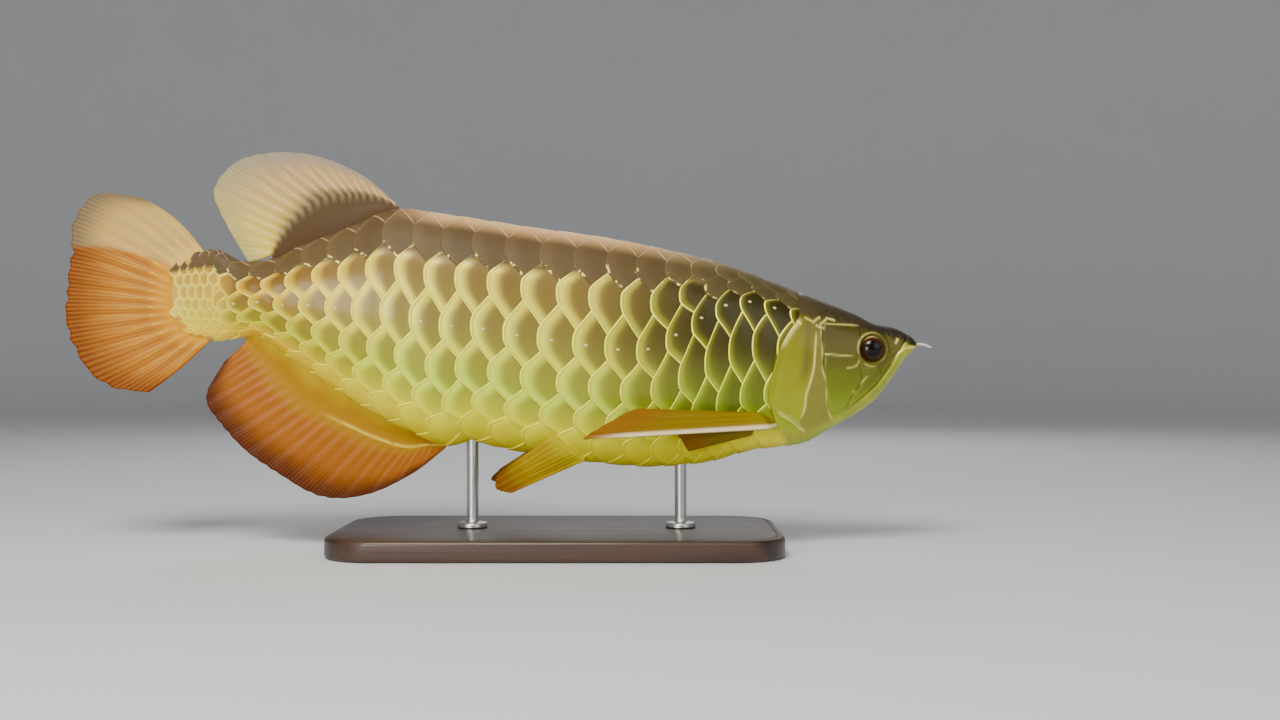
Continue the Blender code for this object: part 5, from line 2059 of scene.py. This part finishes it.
@dataclass
class Barbel:
    """One tapered barbel at the tip of the lower jaw."""

    side: Side
    root: Triple = (246.2, 2.2, 119.8)
    tip_x: float = 255.9
    drop: float = 1.6
    lift: float = 1.2
    radii: Pair = (1.0, 0.32)
    count: int = 28

    def build(self, sweeper: Sweeper, material: Material) -> None:
        """Sweep the barbel and hand it over.

        Args:
            sweeper: sweeps the path.
            material: its finish.
        """
        t = np.linspace(0, 1, self.count)
        root = np.array(self.root) * (1, self.side.value, 1)
        tip = np.array([self.tip_x - 0.1, root[1] * 1.5, root[2] - self.drop])
        path = root + (tip - root) * t[:, None]
        path[:, 2] += self.lift * 4 * t * (1 - t)
        radius = self.radii[0] + (self.radii[1] - self.radii[0]) * t ** 0.8
        radius *= smooth(1.08, 0.93, t)
        strand = Strand(path, radius, np.zeros(self.count), t)
        obj = sweeper.sweep(f"barbel_thread_{self.side.word}", [strand], 14, material)
        register(obj, "barbel", f"barbel_{self.side.word}")


@dataclass
class LateralLine:
    """Small raised pores along the lateral line, one on each scale of its row."""

    row: float = 3.0
    columns: range = range(0, 22)
    ahead: float = 0.42
    smallest_pitch: float = 10.0
    level: float = 0.58
    proud: float = 0.12
    segments: int = 14
    rings: int = 8
    size: Triple = (1.15, 0.8, 0.45)
    size_range: Pair = (0.8, 1.15)
    seed: int = 4

    def tree(self) -> GrowTree:
        """The tree that sets a flattened bead on each point.

        Returns:
            The tree.
        """
        kit = GrowTree("pore_beads", {"Segments": "Int", "Rings": "Int", "Size": "Vector",
                                      "Smallest": "Float", "Largest": "Float", "Seed": "Int"})
        inputs = kit.inputs
        bead = kit.node("GeometryNodeMeshUVSphere", None,
                        {0: inputs["Segments"], 1: inputs["Rings"], 2: MM})
        oval = kit.node("GeometryNodeTransform", None, {0: bead.outputs[0], 3: inputs["Size"]})
        out, axis = (kit.node("GeometryNodeInputNamedAttribute", {"data_type": "FLOAT_VECTOR"},
                              {"Name": name}).outputs[0] for name in ("facing", "axis"))
        turn = kit.node("FunctionNodeAxesToRotation", {"primary_axis": "Z", "secondary_axis": "X"},
                        {0: out, 1: axis})
        vary = kit.node("FunctionNodeRandomValue", {"data_type": "FLOAT"}, {
            2: inputs["Smallest"], 3: inputs["Largest"], "Seed": inputs["Seed"]})
        kit.close(kit.node("GeometryNodeInstanceOnPoints", None, {
            "Points": inputs["Geometry"], "Instance": oval.outputs[0],
            "Rotation": turn.outputs[0], "Scale": vary.outputs[1]}))
        return kit

    def build(self, coat: ScaleCoat) -> None:
        """Set the beads and hand them over.

        Args:
            coat: the scales that they sit on.
        """
        places, facing, axis = [], [], []
        for side in Side:
            for column in self.columns:
                x = float(LATTICE.column_x(column - self.ahead))
                turn = float(LATTICE.turn(np.array(x), np.array(self.row * side.value)))
                pitch = float(LATTICE.column_x(column - 1) - LATTICE.column_x(column))
                if pitch < self.smallest_pitch:
                    continue
                height = self.level * coat.step + coat.dome * pitch / FULL_PITCH + self.proud
                places.append(FISH.raised(x, turn, height))
                facing.append(FISH.normal(np.array(x), np.array(turn)))
                onward = FISH.flank(x + 1, turn) - FISH.flank(x - 1, turn)
                axis.append(onward / np.linalg.norm(onward))
        obj = self.tree().grow(
            "lateral_line_pores", np.array(places), (),
            {"facing": np.array(facing), "axis": np.array(axis)},
            {"Segments": self.segments, "Rings": self.rings, "Size": self.size,
             "Smallest": self.size_range[0], "Largest": self.size_range[1], "Seed": self.seed,
             "Material": self.finish()})
        self._map_beads(obj.data, len(places))
        register(obj, "scales")

    def _map_beads(self, mesh: Mesh, beads: int) -> None:
        """Give each bead a round patch of the bake map, at its place along the flank.

        Args:
            mesh: the beads' mesh.
            beads: how many there are.
        """
        each = len(mesh.vertices) // beads
        number, vertex = np.divmod(np.arange(len(mesh.vertices)), each)
        ring = np.clip((vertex - 1) // self.segments + 1, 0, self.rings)
        ring = np.where(vertex == 0, 0, np.where(vertex == each - 1, self.rings, ring))
        angle = 2 * math.pi * ((vertex - 1) % self.segments) / self.segments
        half = beads // 2
        centre_u = (number % half + 0.5) / half
        centre_v = np.where(number < half, 0.25, 0.75)
        reach = 0.45 * ring / self.rings / half
        uv = np.stack([centre_u + reach * np.cos(angle), centre_v + reach * np.sin(angle)], 1)
        write_map(mesh, uv)

    @staticmethod
    def finish() -> Material:
        """Bright bone round each pore.

        Returns:
            The material.
        """
        kit = Finish("pore_bone", {"Coat Weight": 0.5, "Roughness": 0.28})
        kit.feed(Base_Color=kit.mix(kit.noise(700), (186, 174, 104), (228, 218, 150)))
        return kit.material


@dataclass
class Stand:
    """A flat base with rounded edges and two short rods, in mm."""

    length: float = 260.0
    width: float = 140.0
    thickness: float = 12.0
    corner: float = 30.0
    corner_steps: int = 17
    inner_inset: float = 12.0
    centre_x: float = 36.0
    edge_round: float = 2.4
    edge_steps: int = 7
    line_insets: tuple[float, ...] = (3.4, 3.9, 4.5, 5.0)
    line_depth: float = 0.5
    rod_radius: float = 3.5
    rod_sides: int = 64
    in_body: float = 6.5
    foot_radius: float = 9.0
    foot_height: float = 3.0
    gap: float = 0.3
    sharp_angle: float = 40.0
    rod_places: dict[str, float] = field(default_factory=lambda: {"front": 108.0, "rear": -15.0})

    def base(self) -> list[Array]:
        """The base, as rings of one outline drawn in towards its edges.

        Returns:
            The rings.
        """
        steps, quarters = self.corner_steps, range(4)
        angles = np.concatenate([np.linspace(q, q + 1, steps) for q in quarters]) * math.pi / 2
        signs = np.repeat(((1, 1), (-1, 1), (-1, -1), (1, -1)), steps, 0)
        edge = [(self.edge_round * (1 - math.sin(a)), self.edge_round * (1 - math.cos(a)))
                for a in np.linspace(0, math.pi / 2, self.edge_steps)]
        top, sunk = self.thickness, self.thickness - self.line_depth
        profile = [(self.inner_inset, 0.0), *edge, *((inset, top - low) for inset, low in edge[::-1]),
                   *zip(self.line_insets, (top, sunk, sunk, top)), (self.inner_inset, top)]
        rings = []
        for inset, z in profile:
            radius = self.corner - inset
            x = self.centre_x + signs[:, 0] * (self.length / 2 - self.corner) + radius * np.cos(angles)
            y = signs[:, 1] * (self.width / 2 - self.corner) + radius * np.sin(angles)
            rings.append(np.stack([x, y, np.full(len(x), z)], 1))
        return rings

    def rod(self, x: float) -> list[Array]:
        """A turned rod with a round foot.

        Args:
            x: its place.

        Returns:
            The rings.
        """
        low, foot, rod = self.thickness + self.gap, self.foot_radius, self.rod_radius
        high = low + self.foot_height
        profile = ((foot - 0.4, low), (foot, low + 0.4), (foot, high - 0.9), (foot - 0.3, high - 0.35),
                   (foot - 1.0, high), (rod + 1.6, high), (rod + 0.7, high + 0.3),
                   (rod + 0.15, high + 1.2), (rod, high + 2.6),
                   (rod, float(FISH.belly(x)) + self.in_body))
        return [round_ring(radius, z, self.rod_sides, x) for radius, z in profile]

    def add(self, name: str, rings: list[Array], material: Material, slot: str, node: str) -> None:
        """Make a piece of the stand, smooth but for its sharp edges, and hand it over.

        Args:
            name: its name.
            rings: its rings of places.
            material: its finish.
            slot: the record's material slot.
            node: the node that it stands for.
        """
        obj = ring_piece(name, [ring * MM for ring in rings], material)
        obj.data.set_sharp_from_angle(angle=math.radians(self.sharp_angle))
        register(obj, slot, node)

    def build(self) -> None:
        """Model the base and the rods and hand them over."""
        self.add("stand_base_board", self.base(), WoodFinish().material(), "stand_wood", "stand_base")
        steel = SteelFinish().material()
        for word, x in self.rod_places.items():
            self.add(f"stand_rod_{word}_turned", self.rod(x), steel, "stand_steel", f"stand_rod_{word}")


@dataclass(frozen=True)
class Lamp:
    """A soft square light that looks at the fish."""

    name: str
    place: Triple
    size: float
    power: float
    colour: Colour = (1.0, 1.0, 1.0)

    def build(self, target: Vector) -> None:
        """Hang the light.

        Args:
            target: what it looks at.
        """
        data = bpy.data.lights.new(self.name, "AREA")
        data.size, data.energy, data.color = self.size, self.power, self.colour
        obj = link_object(self.name, data)
        obj.location = self.place
        obj.rotation_euler = (target - Vector(self.place)).to_track_quat("-Z", "Y").to_euler()


@dataclass
class Studio:
    """A pale floor that curves up into a backdrop, soft lights and the camera, in metres."""

    eye: Triple = (0.084, -0.9, 0.111)
    lens: float = 42.8
    clip: Pair = (0.01, 20.0)
    floor_radii: Pair = (1.601, 2.7)
    bend_radius: float = 0.9
    bend_steps: int = 13
    wall_height: float = 3.2
    sides: int = 64
    sink: float = 0.0002
    target: Triple = (0.0, 0.0, 0.12)
    lamps: tuple[Lamp, ...] = (
        Lamp("key", (-0.25, -1.1, 1.25), 0.6, 26, (1.0, 0.98, 0.94)),
        Lamp("fill", (1.1, -1.3, 0.68), 1.0, 6, (0.96, 0.98, 1.0)),
        Lamp("low", (-0.5, -1.3, 0.26), 0.4, 8),
        Lamp("back", (0.2, 1.2, 0.9), 0.8, 5),
    )
    sky: tuple[float, ...] = (0.82, 0.85, 0.9, 1)
    sky_strength: float = 0.22

    def backdrop(self) -> None:
        """The floor and the wall behind it, as one curved sheet all round."""
        start = self.floor_radii[-1]
        profile = [(radius, 0.0) for radius in self.floor_radii]
        profile += [(start + self.bend_radius * math.sin(a), self.bend_radius * (1 - math.cos(a)))
                    for a in np.linspace(0, math.pi / 2, self.bend_steps)[1:]]
        profile.append((start + self.bend_radius, self.wall_height))
        rings = [round_ring(radius, z - self.sink, self.sides) for radius, z in profile]
        ring_piece("studio_sweep", rings, StageFinish().material(), lid=False)

    def build(self) -> None:
        """Set up the stage, the lights, the world and the camera."""
        self.backdrop()
        for lamp in self.lamps:
            lamp.build(Vector(self.target))
        world = bpy.data.worlds.new("studio")
        world.use_nodes = True
        shade = world.node_tree.nodes["Background"]
        shade.inputs["Color"].default_value = self.sky
        shade.inputs["Strength"].default_value = self.sky_strength
        bpy.context.scene.world = world
        camera = bpy.data.cameras.new("photo_camera")
        camera.lens = self.lens
        camera.clip_start, camera.clip_end = self.clip
        obj = link_object("photo_camera", camera)
        obj.location = self.eye
        obj.rotation_euler = (math.pi / 2, 0, 0)
        bpy.context.scene.camera = obj


def main() -> None:
    """Build every piece in order."""
    logging.basicConfig(level=logging.INFO, format="%(name)s %(message)s")
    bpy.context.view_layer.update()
    Studio().build()
    sweeper = Sweeper()
    Skin().build()
    coat = ScaleCoat()
    coat.build()
    LateralLine().build(coat)
    for fin in all_fins():
        fin.build(sweeper)
    eye_material = EyeFinish().material()
    barbel_material = BarbelFinish().material()
    for side in Side:
        Eye(side).build(eye_material)
        Barbel(side).build(sweeper, barbel_material)
    Stand().build()


if __name__ == "__main__":
    main()
